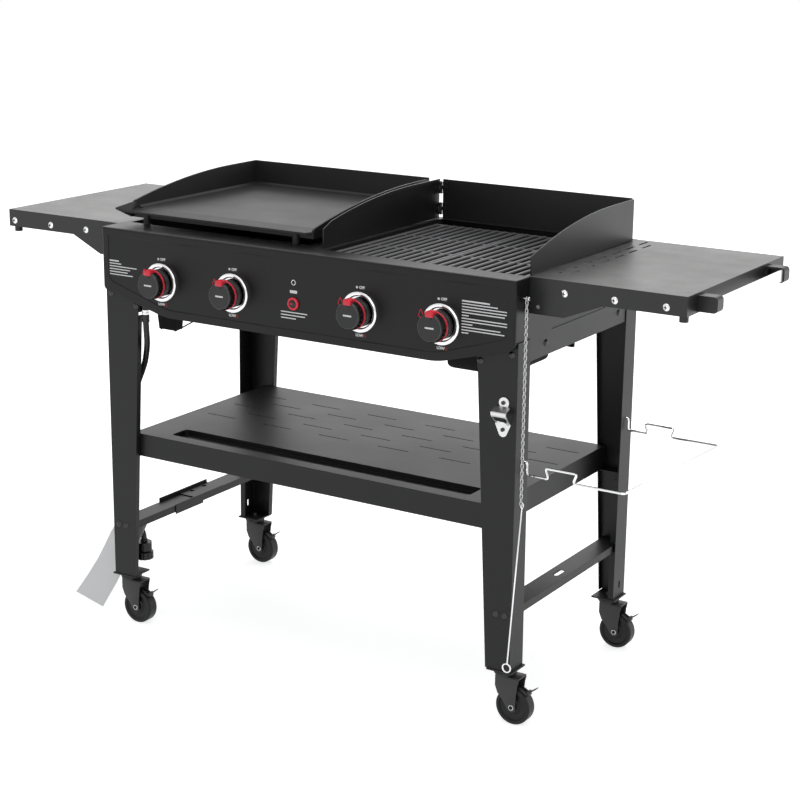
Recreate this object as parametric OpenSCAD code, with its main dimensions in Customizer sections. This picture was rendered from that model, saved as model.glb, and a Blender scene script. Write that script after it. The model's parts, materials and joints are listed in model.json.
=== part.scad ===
// Gas griddle and grill cart: a flat-top griddle beside two cooking grates on a four-burner cook box,
// with fixed side tables, a folding windshield, a wheeled leg frame, a gas hose and a regulator.
// Front is -Y, right is +X, up is +Z, millimetres. The origin is the middle of the footprint on the floor.
// Inside the modules x is measured from the middle of the cook box, y from the face of the control
// panel going back, and z from the floor.

/* [Overall] */
// Height of the cooking rim above the floor
work_h = 835; // [800:5:900]
// Width of the cook box over its side faces
body_w = 930; // [900:5:1000]
// Depth from the face of the control panel to the back of the cook box
body_d = 490; // [480:5:540]
// Thickness of the formed sheet steel
sheet_t = 1.5; // [1.2:0.1:2]
// Width of each side table
table_w = 295; // [260:5:340]

/* [Control panel] */
// Depth of the control box behind the panel face
panel_depth = 50; // [46:1:56]
// Height of the panel at its middle
panel_h = 164; // [156:2:176]
// Height of the panel at its ends
panel_end_h = 123; // [118:1:130]
// Width of the level part of the lower edge
panel_flat_w = 620; // [560:10:680]
// Distance of the pressed border line from the edge
border_inset = 15.5; // [12:0.5:20]
// Depth of the pressed field
field_depth = 1; // [0.5:0.1:1.5]

/* [Burner controls] */
// Distance of the inner pair of burners from each other
burner_pitch_inner = 289; // [270:1:300]
// Distance of the outer pair of burners from each other
burner_pitch_outer = 634; // [610:2:660]
// Drop of the burner line below the rim
burner_drop = 94.5; // [92:0.5:98]
// Radius of the knob grip
knob_r = 27; // [24:0.5:28]
// Length of the knob
knob_len = 34.5; // [30:0.5:38]
// Travel of the knob when it is pushed
knob_push = 3; // [2:0.5:4]
// Radius of the bezel behind each knob
bezel_r = 38; // [35:0.5:40]
// Width of the bezel's raised ring
bezel_ring_w = 9; // [7:0.5:10]
// Radius of the valve stem where the knob sits
stem_r = 3; // [2.5:0.1:3.5]
// Radius of the valve stem inside the valve neck
shoulder_r = 4; // [3.8:0.1:4.6]
// Radial clearance of turning and sliding fits
run_fit = 0.06; // [0.03:0.01:0.1]
// Radius of the igniter ring
igniter_ring_r = 12; // [11.5:0.5:14]
// Radius of the igniter button
igniter_button_r = 8; // [7:0.5:9]
// Travel of the igniter button
igniter_push = 3.5; // [2:0.5:4.5]

/* [Cook box] */
// Height of the cook box walls
box_h = 154; // [150:1:160]
// Width of the rim flange along the sides
rim_side_w = 12; // [8:1:13]
// Width of the rim flange along the back
rim_rear_w = 20; // [16:1:24]
// Width of the flat top of the divider
divider_w = 55; // [50:1:60]
// Distance of the divider's middle from the middle of the box
divider_x = 7.5; // [0:0.5:12]
// Width of the ledge that carries the inner ends of the grates
ledge_w = 22; // [18:1:26]
// Drop of the grate ledges below the rim
ledge_drop = 14; // [13:0.5:18]

/* [Griddle] */
// Gap between the griddle and the outer face of the box
griddle_inset = 22; // [18:1:26]
// Gap between the griddle and the divider's middle
griddle_divider_gap = 9.5; // [6:0.5:14]
// Height of the cooking surface over the rim
griddle_plate_up = 30; // [28:0.5:36]
// Thickness of the griddle plate and walls
griddle_t = 4; // [3:0.5:5]
// Height of the back wall over the rim
griddle_top_up = 80; // [72:1:90]
// Height of the side walls' lower edge over the rim
griddle_skirt_up = 13.5; // [10:0.5:15]
// Radius of the feet
griddle_foot_r = 7; // [6:0.5:8]
// Clearance of lifted-off pieces over their seats
seat_gap = 0.3; // [0.2:0.05:0.5]

/* [Grates and burners] */
// Bars in each grate
grate_bars = 11; // [9:1:12]
// Width of a grate bar
bar_w = 8; // [6:0.5:9]
// Height of a grate bar
bar_h = 10; // [8:0.5:11]
// Distance of the grates' rear end from the panel face
grate_y1 = 434; // [425:1:440]
// Radius of a burner tube
burner_r = 12.5; // [11:0.5:13]
// Wall of a burner tube
burner_wall = 1.2; // [0.8:0.1:1.6]
// Slots along each burner tube
burner_ports = 20; // [12:1:26]
// Width of a heat plate
heat_plate_w = 90; // [80:2:100]
// Rise of a heat plate's ridge
heat_plate_rise = 25; // [20:1:30]

/* [Windshield] */
// Height of the windshield over the rim
shield_up = 80; // [72:1:90]
// Thickness of the windshield sheet
shield_t = 1.2; // [0.8:0.1:1.6]
// Width of the folded hem
hem_w = 7; // [5:0.5:9]
// Outer radius of the hinge knuckles
knuckle_r = 3.2; // [3:0.1:3.8]
// Radius of the hinge pins
hinge_pin_r = 1.5; // [1.2:0.1:1.8]
// Height of a hinge
hinge_h = 24; // [20:1:28]

/* [Side tables] */
// Depth of the table skirt
skirt_h = 35; // [32:1:40]
// Depth of the right table's bracket beside the box
bracket_drop_right = 65; // [60:1:70]
// Depth of the left table's bracket beside the box
bracket_drop_left = 68; // [60:1:70]
// Radius of the rubber feet
plug_r = 8; // [7:0.5:9]
// Height of the rubber feet below the skirt
plug_h = 10; // [8:1:12]
// Reach of the towel bar brackets beyond the table
bar_reach = 37; // [32:1:42]
// Height of the towel bar
towel_bar_h = 21; // [18:1:24]
// Thickness of the towel bar
towel_bar_t = 3; // [2:0.5:4]

/* [Leg frame] */
// Thickness of the leg sheet
leg_t = 2; // [1.5:0.1:2.5]
// Distance of the front legs' face behind the panel face
leg_front_y = 11; // [10:0.5:12]
// Width of a leg's front flange at the top
leg_top_w = 80; // [74:1:84]
// Width of a leg's front flange at the bottom
leg_bottom_w = 51; // [46:1:56]
// Width of a leg's side flange
leg_side_w = 48; // [44:1:52]
// Returned lip along the free edges of a leg
leg_lip = 10; // [8:1:12]
// Drop of the legs' top below the rim
leg_top_drop = 112; // [108:1:116]
// Drop of the shelf top below the rim
shelf_drop = 420; // [380:5:460]
// Depth of the shelf skirt
shelf_skirt = 47; // [40:1:52]
// Gap between the shelf's end and the side face of the box
shelf_inset = 47; // [44:1:52]
// Drop of the crossbars' top below the rim
crossbar_drop = 613; // [590:1:640]
// Width of a crossbar
crossbar_w = 42; // [38:1:44]
// Depth of a crossbar's lips
crossbar_lip = 15; // [12:1:18]

/* [Casters] */
// Radius of a wheel
wheel_r = 35; // [31:0.5:38]
// Width of a wheel
wheel_w = 24; // [20:1:26]
// Trail of the axle behind the swivel stem
trail = 22; // [18:1:26]
// Radius of the swivel stem
swivel_r = 5; // [4:0.5:6]
// Radius of the axle
axle_r = 4; // [3:0.5:5]
// Thickness of the fork plates
fork_t = 3; // [2:0.5:4]

/* [Fasteners] */
// Radius of the bolt heads
bolt_head_r = 7; // [6:0.5:8]
// Height of the bolt heads
bolt_head_h = 3.5; // [3:0.1:4.5]
// Radius of the bolt shanks
bolt_r = 3; // [2.5:0.1:3.2]
// Radial clearance of the bolt holes
bolt_fit = 0.4; // [0.2:0.05:0.5]
// Length of a nut
nut_h = 4; // [3:0.5:5]

/* [Hanging pieces] */
// Wire thickness of a chain link
link_wire = 1.8; // [1.4:0.1:2]
// Inner length of a chain link
link_inner = 7.3; // [6.6:0.1:8]
// Inner width of a chain link
link_gap_w = 2.8; // [2.6:0.1:3.2]
// Links in the match chain, an odd number so that both ends hang alike
links = 53; // [31:2:55]
// Length of the match rod between its rings
rod_len = 276; // [240:2:300]
// Thickness of the bag holder wire
bag_wire = 5; // [4:0.5:6]
// Outer diameter of the gas hose
hose_d = 12; // [11:0.5:13]
// Outer radius of the regulator body
regulator_r = 16; // [14:0.5:18]

/* [Hidden] */
$fn = 48;
eps = 0.01;

// Frame of the cook box
rim = work_h;
half_w = body_w / 2;
wall_in = half_w - sheet_t;
box_y0 = panel_depth;
floor_z = rim - box_h;
burner_z = rim - burner_drop;
burner_x = [-burner_pitch_outer / 2, -burner_pitch_inner / 2, burner_pitch_inner / 2, burner_pitch_outer / 2];

// Control panel and what passes through it
panel_bend_r = 4;
field_y = field_depth;
field_back = field_depth + sheet_t;
panel_lip = 9;
bezel_front = -5;
bezel_disc_front = -0.5;
bezel_hole_r = 7;
knob_back = bezel_front - 1.5;
knob_face = knob_back - knob_len;
pointer_h = 1.5;
stem_tip = knob_face + 12;
bore_end = stem_tip - knob_push - 1;
neck_r = 6.5;
neck_front = 4;
valve_front = 12;
valve_back = 35;
valve_half = 14.5;
shoulder_depth = 21;
nozzle_r = 5;
nozzle_back = 46;
burner_front = 36;
manifold_r = 9;
manifold_wall = 1.5;
manifold_y = valve_front + 9;
saddle_gap = 0.1;
manifold_z = burner_z - valve_half - manifold_r - saddle_gap;
inlet_x = burner_x[0] - 59;
inlet_z = rim - 150;
ferrule_r = 7.5;
ferrule_h = 35;
igniter_x = -3;
igniter_z = rim - 98;
igniter_neck_r = igniter_ring_r - 2.5;
igniter_depth = 28;

// Divider and ledges
divider_x0 = divider_x - divider_w / 2;
divider_x1 = divider_x + divider_w / 2;
ledge_z = rim - ledge_drop;
grate_x0 = divider_x1 + 9;
grate_x1 = half_w - rim_side_w - 2;
rear_ledge_y = grate_y1 - 10;
plate_ledge_z = rim - 70;
plate_ledge_w = 16;
tray_opening = [300, 80, 110, 135];

// Griddle
griddle_x0 = -half_w + griddle_inset;
griddle_x1 = divider_x - griddle_divider_gap;
griddle_y0 = box_y0 + 4;
griddle_y1 = body_d - 10;
griddle_crease_y = griddle_y0 + 32;
plate_top = rim + griddle_plate_up;
lip_drop = 4;
griddle_rest_y = box_y0 + 24;
griddle_foot_y = [griddle_rest_y - 9, griddle_y1 - 6];
griddle_foot_x = [griddle_x0 + 40, griddle_x1 - 40];

// Windshield
hinge_up = [20, 63];
shield_gap = 0.5;
shield_y0 = box_y0 + 10;
shield_rear_y = body_d - 10;
hinge_y_left = shield_rear_y - knuckle_r;
fold_step = 3.2;
hinge_y_right = hinge_y_left - fold_step;
shield_left_x = divider_x + 14.5;
shield_right_x = half_w - 3.4;
hinge_x_left = shield_left_x + 2 * shield_t + knuckle_r;
hinge_x_right = shield_right_x - 2 * shield_t - knuckle_r;
knuckle_gap = 0.3;

// Side tables
table_x1 = half_w + table_w;
table_y1 = body_d - 1;
bar_x = table_x1 + bar_reach - 5;
bar_z = rim - 17.5;
bar_end_y = [90, 422];
bar_bracket_len = 25;
bar_bracket_top = rim - 4;
bar_bracket_h = 28;
bar_bury = 12;

// Leg frame
leg_out = half_w + leg_t;
leg_top = rim - leg_top_drop;
leg_flange_top = leg_top - 8;
leg_bottom = 107;
foot_plate_t = 3;
foot_plate_w = 52;
foot_plate_d = 54;
swivel_x = half_w - 19.5;
swivel_y = [leg_front_y + 25, body_d + leg_t - 25];
rear_face = body_d + leg_t;
shelf_top = rim - shelf_drop;
shelf_bottom = shelf_top - shelf_skirt;
shelf_x = half_w - shelf_inset;
shelf_y0 = leg_front_y + leg_t + leg_lip + 1;
shelf_y1 = rear_face - leg_t - leg_lip - 1;
crossbar_top = rim - crossbar_drop;
crossbar_x1 = half_w - 3;
crossbar_x0 = crossbar_x1 - crossbar_w;
crossbar_y0 = leg_front_y + leg_t;
strap_hole = 10;
strap_hole_x = crossbar_x1 - 12;
strap_hole_y = [246, 288];
saddle_y0 = 153;
saddle_y1 = 314;
saddle_tongue = 63;
saddle_skirt = 92;
saddle_wing = 8;
crossbar_y1 = rear_face - leg_t;

// Bolt places, measured in from the outer face of a leg and down from the rim
leg_bolts_front = [[12, 134], [75, 153]];
leg_bolts_rear = [[12, 134], [75, 140]];
crossbar_bolts = [[14, crossbar_drop + 7], [32, crossbar_drop + 7]];
side_bolts_y = [117, 415];
side_bolts_z = rim - 131;
table_bolts_right = [67, 162, 257];
table_bolts_left = [86, 181, 280];
table_bolts_z = rim - 22.5;

// Casters
axle_z = wheel_r;
race_top = leg_bottom - foot_plate_t;
race_h = 5;
race_r = 20;
fork_top = race_top - 2 * race_h - seat_gap;
fork_in = wheel_w / 2 + 1;
lever_at = [trail + 26, wheel_r + 30];
lever_r = 4.2;
lever_pin_r = 2.5;

// Grease tray and cup
tray_x = [291, 415];
tray_y = [68, 226];
tray_bottom = rim - 193;
tray_rail_z = floor_z - 7;
tray_t = 1;
cup_x = [-437, -385];
cup_y = [125, 156];
cup_top = floor_z - 6;
cup_bottom = rim - 226;

// Match chain and rod on the right cheek
chain_x = half_w + 12;
chain_y = 18;
chain_top = rim - 36;
link_pitch = link_inner - 0.3;
chain_end = chain_top - links * link_pitch;
rod_ring_r = 5;
hook_r = 4;
hook_pin_r = 1.5;
hook_pin_z = chain_top + 2 * hook_r - 1.2 - link_wire / 2 - 0.3 - hook_pin_r;

// Bag holder hooked through the right legs
bag_y = [44, 465];
bag_z = [rim - 358, rim - 376];

// Gas line: the route of the hose from the inlet ferrule to the regulator
hose_route = [
    [-376, 21, 650], [-376, 22, 632], [-383, 31, 600], [-405, 48, 556], [-438, 64, 505], [-466, 76, 448],
    [-478, 80, 388], [-480, 80, 320], [-480, 80, 258], [-475, 80, 216], [-457, 79, 190], [-447, 78, 177],
    [-445, 78, 165]
];
regulator_at = hose_route[len(hose_route) - 1];

// Places and sizes of the small pieces
plug_stem_r = 4;
plug_in = 8.5;
plug_in_left = 17;
burner_tab_y = body_d - 18;
plate_rear_y = body_d - 34;
electrode_r = 2.5;
screw_r = 1.6;
opener_x = 441;
opener_screws = [rim - 221.5, rim - 270.6];
opener_t = 1.8;
opener_w = 30;
opener_reach = 20;
slit_length = 72;
slit_w = 3;
slit_pitch = 141.6;
slit_row = 45.2;
slit_x0 = -345;
slit_y0 = 220;
rod_lean = -6;
bar_screw_y = [bar_end_y[0] + 6, bar_end_y[1] - 6];
grate_mid = (grate_x0 + grate_x1) / 2;
bag_x = leg_out + 6;
bag_reach = 191;
port_r = 13;
caster_at = [
    [swivel_x, swivel_y[0]], [-swivel_x, swivel_y[0]], [swivel_x, swivel_y[1]], [-swivel_x, swivel_y[1]]
];

centre_x = bar_reach / 2;
front_reach = knob_face - pointer_h;
rear_reach = rear_face + bolt_head_h;
centre_y = (front_reach + rear_reach) / 2;

// Helpers: place a piece in the model, make blocks, bars and sheets

module placed() translate([-centre_x, -centre_y, 0]) children();

module block(x, y, z) translate([x[0], y[0], z[0]]) cube([x[1] - x[0], y[1] - y[0], z[1] - z[0]]);

// Extrudes an outline of x and z along y, and one of y and z along x
module along_y(y) translate([0, y[1], 0]) rotate([90, 0, 0]) linear_extrude(y[1] - y[0]) children();
module along_x(x) translate([x[0], 0, 0]) rotate([90, 0, 90]) linear_extrude(x[1] - x[0]) children();

module pin_x(x, y, z, r) translate([x[0], y, z]) rotate([0, 90, 0]) cylinder(h = x[1] - x[0], r = r);
module pin_y(x, y, z, r) translate([x, y[0], z]) rotate([-90, 0, 0]) cylinder(h = y[1] - y[0], r = r);
module pin_z(x, y, z, r) translate([x, y, z[0]]) cylinder(h = z[1] - z[0], r = r);

module on_side(side) mirror([side < 0 ? 1 : 0, 0, 0]) children();

function unit(v) = v / norm(v);
function turn(a) = a > 180 ? a - 360 : a < -180 ? a + 360 : a;

// Points of the fillet at corner b of an outline that comes from a and goes on to c
function corner_arc(a, b, c, r, n) =
    let (u = unit(a - b), v = unit(c - b), half = acos(u * v) / 2,
         d = min(r / tan(half), 0.48 * min(norm(a - b), norm(c - b))), rr = d * tan(half),
         m = b + unit(u + v) * rr / sin(half), p = b + u * d - m, q = b + v * d - m,
         a0 = atan2(p[1], p[0]), sweep = turn(atan2(q[1], q[0]) - a0))
    [for (i = [0:n]) m + rr * [cos(a0 + sweep * i / n), sin(a0 + sweep * i / n)]];

// An outline with a radius for each of its corners
function rounded(pts, r, n = 5) =
    let (k = len(pts))
    [for (i = [0:k - 1]) each r[i] > 0
        ? corner_arc(pts[(i + k - 1) % k], pts[i], pts[(i + 1) % k], r[i], n)
        : [pts[i]]];

function rect_pts(x, y) = [[x[0], y[0]], [x[1], y[0]], [x[1], y[1]], [x[0], y[1]]];
function all_round(x, y, r) = rounded(rect_pts(x, y), [r, r, r, r]);

// A slot with round ends along the second axis
module slot(at, len, w) translate(at) {
    square([w, len - w], center = true);
    for (s = [-1, 1]) translate([0, s * (len - w) / 2]) circle(d = w, $fn = 16);
}

// A tube swept along points, with its rings carried along the path
function path_dir(p, i) =
    i == 0 ? unit(p[1] - p[0])
    : i == len(p) - 1 ? unit(p[i] - p[i - 1])
    : unit(unit(p[i + 1] - p[i]) + unit(p[i] - p[i - 1]));
function square_to(v, t) = unit(v - (v * t) * t);
function ring_sides(p, v, i = 0) =
    i == len(p) ? [] : let (w = square_to(v, path_dir(p, i))) concat([w], ring_sides(p, w, i + 1));
module tube(p, r, sides, first = [0, 1, 0.03]) {
    across = ring_sides(p, first);
    pts = [for (i = [0:len(p) - 1]) let (up = cross(path_dir(p, i), across[i]))
        for (k = [0:sides - 1]) p[i] + r * (cos(360 * k / sides) * across[i] + sin(360 * k / sides) * up)];
    last = (len(p) - 1) * sides;
    faces = concat(
        [for (i = [0:len(p) - 2], k = [0:sides - 1]) let (a = i * sides, b = (k + 1) % sides)
            each [[a + k, a + sides + k, a + b], [a + b, a + sides + k, a + sides + b]]],
        [for (k = [1:sides - 2]) each [[0, k, k + 1], [last, last + k + 1, last + k]]]);
    polyhedron(pts, faces);
}

// A wire path whose corners are bent to a radius
function bent(p, r, n = 4) = concat([p[0]],
    [for (i = [1:len(p) - 2]) let (a = p[i] + unit(p[i - 1] - p[i]) * r, c = p[i] + unit(p[i + 1] - p[i]) * r)
        for (k = [0:n]) let (t = k / n) (1 - t) * (1 - t) * a + 2 * t * (1 - t) * p[i] + t * t * c],
    [p[len(p) - 1]]);

// A smooth route through hand-set points
function route_at(p, i) = p[max(0, min(len(p) - 1, i))];
function smooth(p, n) = concat(
    [for (i = [0:len(p) - 2], k = [0:n - 1]) let (t = k / n,
        a = route_at(p, i - 1), b = p[i], c = p[i + 1], d = route_at(p, i + 2))
        0.5 * (2 * b + (c - a) * t + (2 * a - 5 * b + 4 * c - d) * t * t
            + (3 * b - a - 3 * c + d) * t * t * t)],
    [p[len(p) - 1]]);
function path_len(p, i = 0) = i >= len(p) - 1 ? 0 : norm(p[i + 1] - p[i]) + path_len(p, i + 1);

// Control panel: one sheet folded into a front, a top ledge and two cheeks, with a pressed field

function panel_outline(inset) =
    let (x1 = half_w - inset, low = rim - panel_h + inset, end = rim - panel_end_h + inset * 1.2,
         flat = panel_flat_w / 2 - inset * 0.3)
    rounded([[-x1, rim - inset], [-x1, end], [-flat, low], [flat, low], [x1, end], [x1, rim - inset]],
        [0, 14, 150, 150, 14, 0], 8);

module panel_solid(inset, y1, open) intersection() {
    along_y([inset, y1]) polygon(open ? concat([[-half_w + inset, rim - inset]],
        [[-half_w + inset, rim - panel_h - 9], [half_w - inset, rim - panel_h - 9]],
        [[half_w - inset, rim - inset]]) : panel_outline(inset));
    translate([0, 0, rim - panel_h - 10]) linear_extrude(panel_h + 10) polygon(rounded(
        [[-half_w + inset, y1], [-half_w + inset, inset], [half_w - inset, inset], [half_w - inset, y1]],
        [0, panel_bend_r - inset, panel_bend_r - inset, 0]));
    along_x([-half_w, half_w]) polygon(rounded(
        [[inset, rim - panel_h - 10], [y1, rim - panel_h - 10], [y1, rim - inset], [inset, rim - inset]],
        [0, 0, 0, panel_bend_r - inset]));
}

module panel_field(grow) polygon(panel_outline(border_inset - grow));

module control_panel() color([0.13, 0.13, 0.14]) placed() difference() {
    union() {
        difference() {
            panel_solid(0, panel_depth, false);
            panel_solid(sheet_t, panel_lip, false);
            translate([0, panel_lip - sheet_t, 0]) panel_solid(sheet_t, panel_depth + 1, true);
        }
        along_y([field_y, field_back]) panel_field(1.5);
        block([-wall_in, wall_in], [panel_depth - sheet_t, panel_depth], [rim - 15, rim - sheet_t / 2]);
    }
    along_y([-1, field_y]) panel_field(0);
    for (x = burner_x) pin_y(x, [-1, field_back + 1], burner_z, bezel_hole_r);
    pin_x([wall_in - 1, half_w + 1], chain_y, hook_pin_z, hook_pin_r + 0.1);
    pin_y(igniter_x, [-1, field_back + 1], igniter_z, igniter_neck_r + 0.5);
}

// Burner controls

module knob_bezel() difference() {
    union() {
        pin_y(0, [bezel_disc_front, field_y], 0, bezel_r);
        translate([0, field_y, 0]) rotate([90, 0, 0]) rotate_extrude() polygon(rounded(
            [[bezel_r - bezel_ring_w, 0], [bezel_r, 0], [bezel_r, field_y - bezel_front - 1.5],
             [bezel_r - 3, field_y - bezel_front], [bezel_r - bezel_ring_w + 2, field_y - bezel_front]],
            [0, 0, 2, 2, 1.5], 3));
    }
    pin_y(0, [bezel_front - 1, field_y + 1], 0, bezel_hole_r);
}

module knob_bezels() color([0.78, 0.78, 0.8]) placed()
    for (x = burner_x) translate([x, 0, burner_z]) knob_bezel();

module d_shape(r, flat) intersection() {
    circle(r);
    translate([-r, -r]) square([2 * r, r + flat]);
}

module valve_stem(i) color([0.72, 0.72, 0.72]) placed() translate([burner_x[i], 0, burner_z]) {
    pin_y(0, [neck_front + 1, neck_front + shoulder_depth - 1], 0, shoulder_r);
    translate([0, neck_front + 1 + eps, 0]) rotate([90, 0, 0])
        linear_extrude(neck_front + 1 - stem_tip) d_shape(stem_r, stem_r * 0.5);
}

// One valve: a block with a neck in front, a nozzle behind and an inlet down into the manifold
module valve_body() difference() {
    union() {
        block([-valve_half, valve_half], [valve_front, valve_back], [-valve_half, valve_half]);
        pin_y(0, [neck_front, valve_front], 0, neck_r);
        pin_y(0, [valve_back, nozzle_back], 0, nozzle_r);
        pin_z(0, manifold_y, [-valve_half - 5, -valve_half + 1], 3.5);
        block([-8, 8], [manifold_y - 10, manifold_y + 10], [-valve_half - 5, -valve_half]);
    }
    pin_y(0, [neck_front - 1, neck_front + shoulder_depth], 0, shoulder_r + run_fit);
    pin_y(0, [nozzle_back - 3, nozzle_back + 1], 0, 0.8);
    difference() {
        pin_x([-valve_half - 1, valve_half + 1], manifold_y, manifold_z - burner_z, manifold_r + saddle_gap);
        pin_z(0, manifold_y, [manifold_z - burner_z, 0], 3.5);
    }
}

module valve_bodies() color([0.72, 0.58, 0.3]) placed()
    for (x = burner_x) translate([x, 0, burner_z]) valve_body();

module gas_manifold() color([0.7, 0.7, 0.72]) placed() difference() {
    union() {
        pin_x([inlet_x - 8, burner_x[3] + 30], manifold_y, manifold_z, manifold_r);
        pin_z(inlet_x, manifold_y, [inlet_z, manifold_z], ferrule_r);
        pin_z(inlet_x, manifold_y, [inlet_z, inlet_z + 7], ferrule_r + 0.5);
        pin_z(inlet_x, manifold_y, [inlet_z - ferrule_h, inlet_z], ferrule_r);
        for (x = [inlet_x + 25, burner_x[1] - 40, burner_x[2] + 40, burner_x[3] + 22])
            block([x - 2, x + 2], [manifold_y, box_y0], [manifold_z - 7, manifold_z + 7]);
    }
    pin_x([inlet_x - 6, burner_x[3] + 28], manifold_y, manifold_z, manifold_r - manifold_wall);
    pin_z(inlet_x, manifold_y, [inlet_z + 2, manifold_z], 5);
    for (k = [0:3]) translate([inlet_x, manifold_y, inlet_z - 8 - 7 * k]) rotate_extrude()
        translate([ferrule_r - 0.6, 0]) square([2, 1.4]);
    for (x = burner_x) pin_z(x, manifold_y, [manifold_z, manifold_z + manifold_r + 1], 3.5 + saddle_gap);
}

// Knob: a ribbed grip that tapers to its face, with a raised pointer and a groove for the coloured band
module knob(i) color([0.06, 0.06, 0.07]) placed() translate([burner_x[i], knob_back, burner_z]) {
    rotate([90, 0, 0]) difference() {
        union() {
            rotate_extrude() polygon(rounded(
                [[0, 0], [knob_r, 0], [knob_r, 9], [knob_r - 1, 10], [knob_r - 1, 13], [knob_r, 14],
                 [knob_r - 1.5, knob_len], [0, knob_len]],
                [0, 0, 0, 0, 0, 0, 4, 0], 4));
            for (k = [0:19]) rotate([0, 0, 18 * k + 9])
                translate([knob_r - 0.6, -1.6, 16]) cube([1.2, 3.2, knob_len - 21]);
            translate([-4, knob_r - 12, knob_len - 3]) cube([8, 11, 3 + pointer_h]);
        }
        translate([0, 0, -1]) linear_extrude(knob_back - bore_end + 1)
            d_shape(stem_r + run_fit, stem_r * 0.5 + run_fit);
        translate([0, 0, -1]) linear_extrude(6) difference() {
            circle(knob_r - 3);
            circle(stem_r + 5);
        }
    }
}

module igniter_housing() color([0.7, 0.12, 0.12]) placed() translate([igniter_x, 0, igniter_z]) {
    difference() {
        union() {
            translate([0, field_y, 0]) rotate([90, 0, 0]) rotate_extrude() polygon(rounded(
                [[0, 0], [igniter_ring_r, 0], [igniter_ring_r, 4], [0, 4]], [0, 0, 1.5, 0], 3));
            pin_y(0, [field_y, igniter_depth], 0, igniter_neck_r);
        }
        pin_y(0, [field_y - 5, igniter_depth - 4], 0, igniter_button_r + run_fit);
    }
    difference() {
        pin_y(0, [field_back, field_back + 6], 0, igniter_neck_r + 5);
        pin_y(0, [field_back - 1, field_back + 7], 0, igniter_neck_r + 0.1);
    }
}

module igniter_button() color([0.05, 0.05, 0.05]) placed() translate([igniter_x, 0, igniter_z])
    translate([0, 14, 0]) rotate([90, 0, 0]) rotate_extrude() polygon(rounded(
        [[0, 0], [igniter_button_r, 0], [igniter_button_r, 21], [0, 22]], [0, 0, 1.2, 0], 3));

// Cook box: sides, back, floor, divider, rims and ledges, welded into one shell

module side_wall(side) on_side(side) difference() {
    union() {
        block([wall_in, half_w], [box_y0, body_d], [floor_z, rim]);
        block([half_w - rim_side_w, half_w], [box_y0 + sheet_t, body_d], [rim - sheet_t, rim]);
        block([wall_in - sheet_t + 0.5, wall_in], [137.5, 354.5], [rim - 111.5, rim - 48.5]);
    }
    block([half_w - 1, half_w + 1], [139, 353], [rim - 110, rim - 50]);
    for (y = side_bolts_y) pin_x([wall_in - 1, half_w + 1], y, side_bolts_z, bolt_r + bolt_fit);
}

module box_floor() difference() {
    block([-wall_in, wall_in], [box_y0 + sheet_t, body_d - sheet_t], [floor_z, floor_z + sheet_t]);
    block([tray_opening[0], tray_opening[0] + tray_opening[2]],
        [tray_opening[1], tray_opening[1] + tray_opening[3]], [floor_z - 1, floor_z + sheet_t + 1]);
    translate([0, 0, floor_z - 1]) linear_extrude(sheet_t + 2)
        for (x = [-370:60:-70], y = [160, 260, 360]) slot([x, y], 50, 8);
    block(cup_x + [7, -7], cup_y + [8, -8], [floor_z - 1, floor_z + sheet_t + 1]);
}

module divider() {
    block([divider_x0, divider_x1], [box_y0 + sheet_t, body_d - sheet_t], [rim - sheet_t, rim]);
    block([divider_x0, divider_x0 + sheet_t], [box_y0 + sheet_t, body_d - sheet_t], [floor_z, rim]);
    block([divider_x1 - sheet_t, divider_x1], [box_y0 + sheet_t, body_d - sheet_t],
        [ledge_z - sheet_t, rim]);
    block([divider_x1 - sheet_t, divider_x1 + ledge_w], [box_y0 + sheet_t, body_d - sheet_t],
        [ledge_z - sheet_t, ledge_z]);
    block([divider_x1 + ledge_w - sheet_t, divider_x1 + ledge_w], [box_y0 + sheet_t, body_d - sheet_t],
        [floor_z, ledge_z]);
}

module rear_wall() {
    difference() {
        block([-half_w, half_w], [body_d - sheet_t, body_d], [floor_z, rim]);
        for (s = [-1, 1], b = leg_bolts_rear)
            pin_y(s * (leg_out - b[0]), [body_d - sheet_t - 1, body_d + 1], rim - b[1], bolt_r + bolt_fit);
    }
    block([-half_w, half_w], [body_d - rim_rear_w, body_d], [rim - sheet_t, rim]);
    difference() {
        block([divider_x1 + ledge_w - sheet_t, wall_in], [rear_ledge_y, body_d - sheet_t],
            [ledge_z - sheet_t, ledge_z]);
        translate([0, 0, ledge_z - sheet_t - 1]) linear_extrude(sheet_t + 2)
            for (x = [90:36:430]) translate([x, grate_y1 + 22]) rotate(90) slot([0, 0], 26, 6);
    }
    for (x = burner_x) block([x - 14, x + 14], [burner_tab_y, body_d - sheet_t],
        [burner_z - 2 - sheet_t, burner_z - 2]);
    for (x = [burner_x[2], burner_x[3]])
        block([x - heat_plate_w / 2 - 4, x + heat_plate_w / 2 + 4], [plate_rear_y, body_d - sheet_t],
            [plate_ledge_z - 2 * sheet_t, plate_ledge_z - sheet_t]);
}

// Two rails under the floor carry the flanges of the grease tray
module tray_rails() for (m = [0, 1]) mirror([0, m, 0]) translate([0, m ? -tray_y[0] - tray_y[1] : 0, 0]) {
    block([tray_x[0] - 6, wall_in], [tray_y[0] - 9.5, tray_y[0] - 8], [tray_rail_z, floor_z]);
    block([tray_x[0] - 6, wall_in], [tray_y[0] - 9.5, tray_y[0] - 3], [tray_rail_z - sheet_t, tray_rail_z]);
}

// Two hangers under the floor carry the flanges of the grease cup
module cup_hangers() for (m = [0, 1]) translate([0, m ? cup_y[0] + cup_y[1] : 0, 0]) mirror([0, m, 0]) {
    block(cup_x, [cup_y[0] - 6, cup_y[0] - 4.5], [cup_top - 2 - sheet_t, floor_z]);
    block(cup_x, [cup_y[0] - 6, cup_y[0] - 1], [cup_top - 1 - seat_gap - sheet_t, cup_top - 1 - seat_gap]);
}

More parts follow.
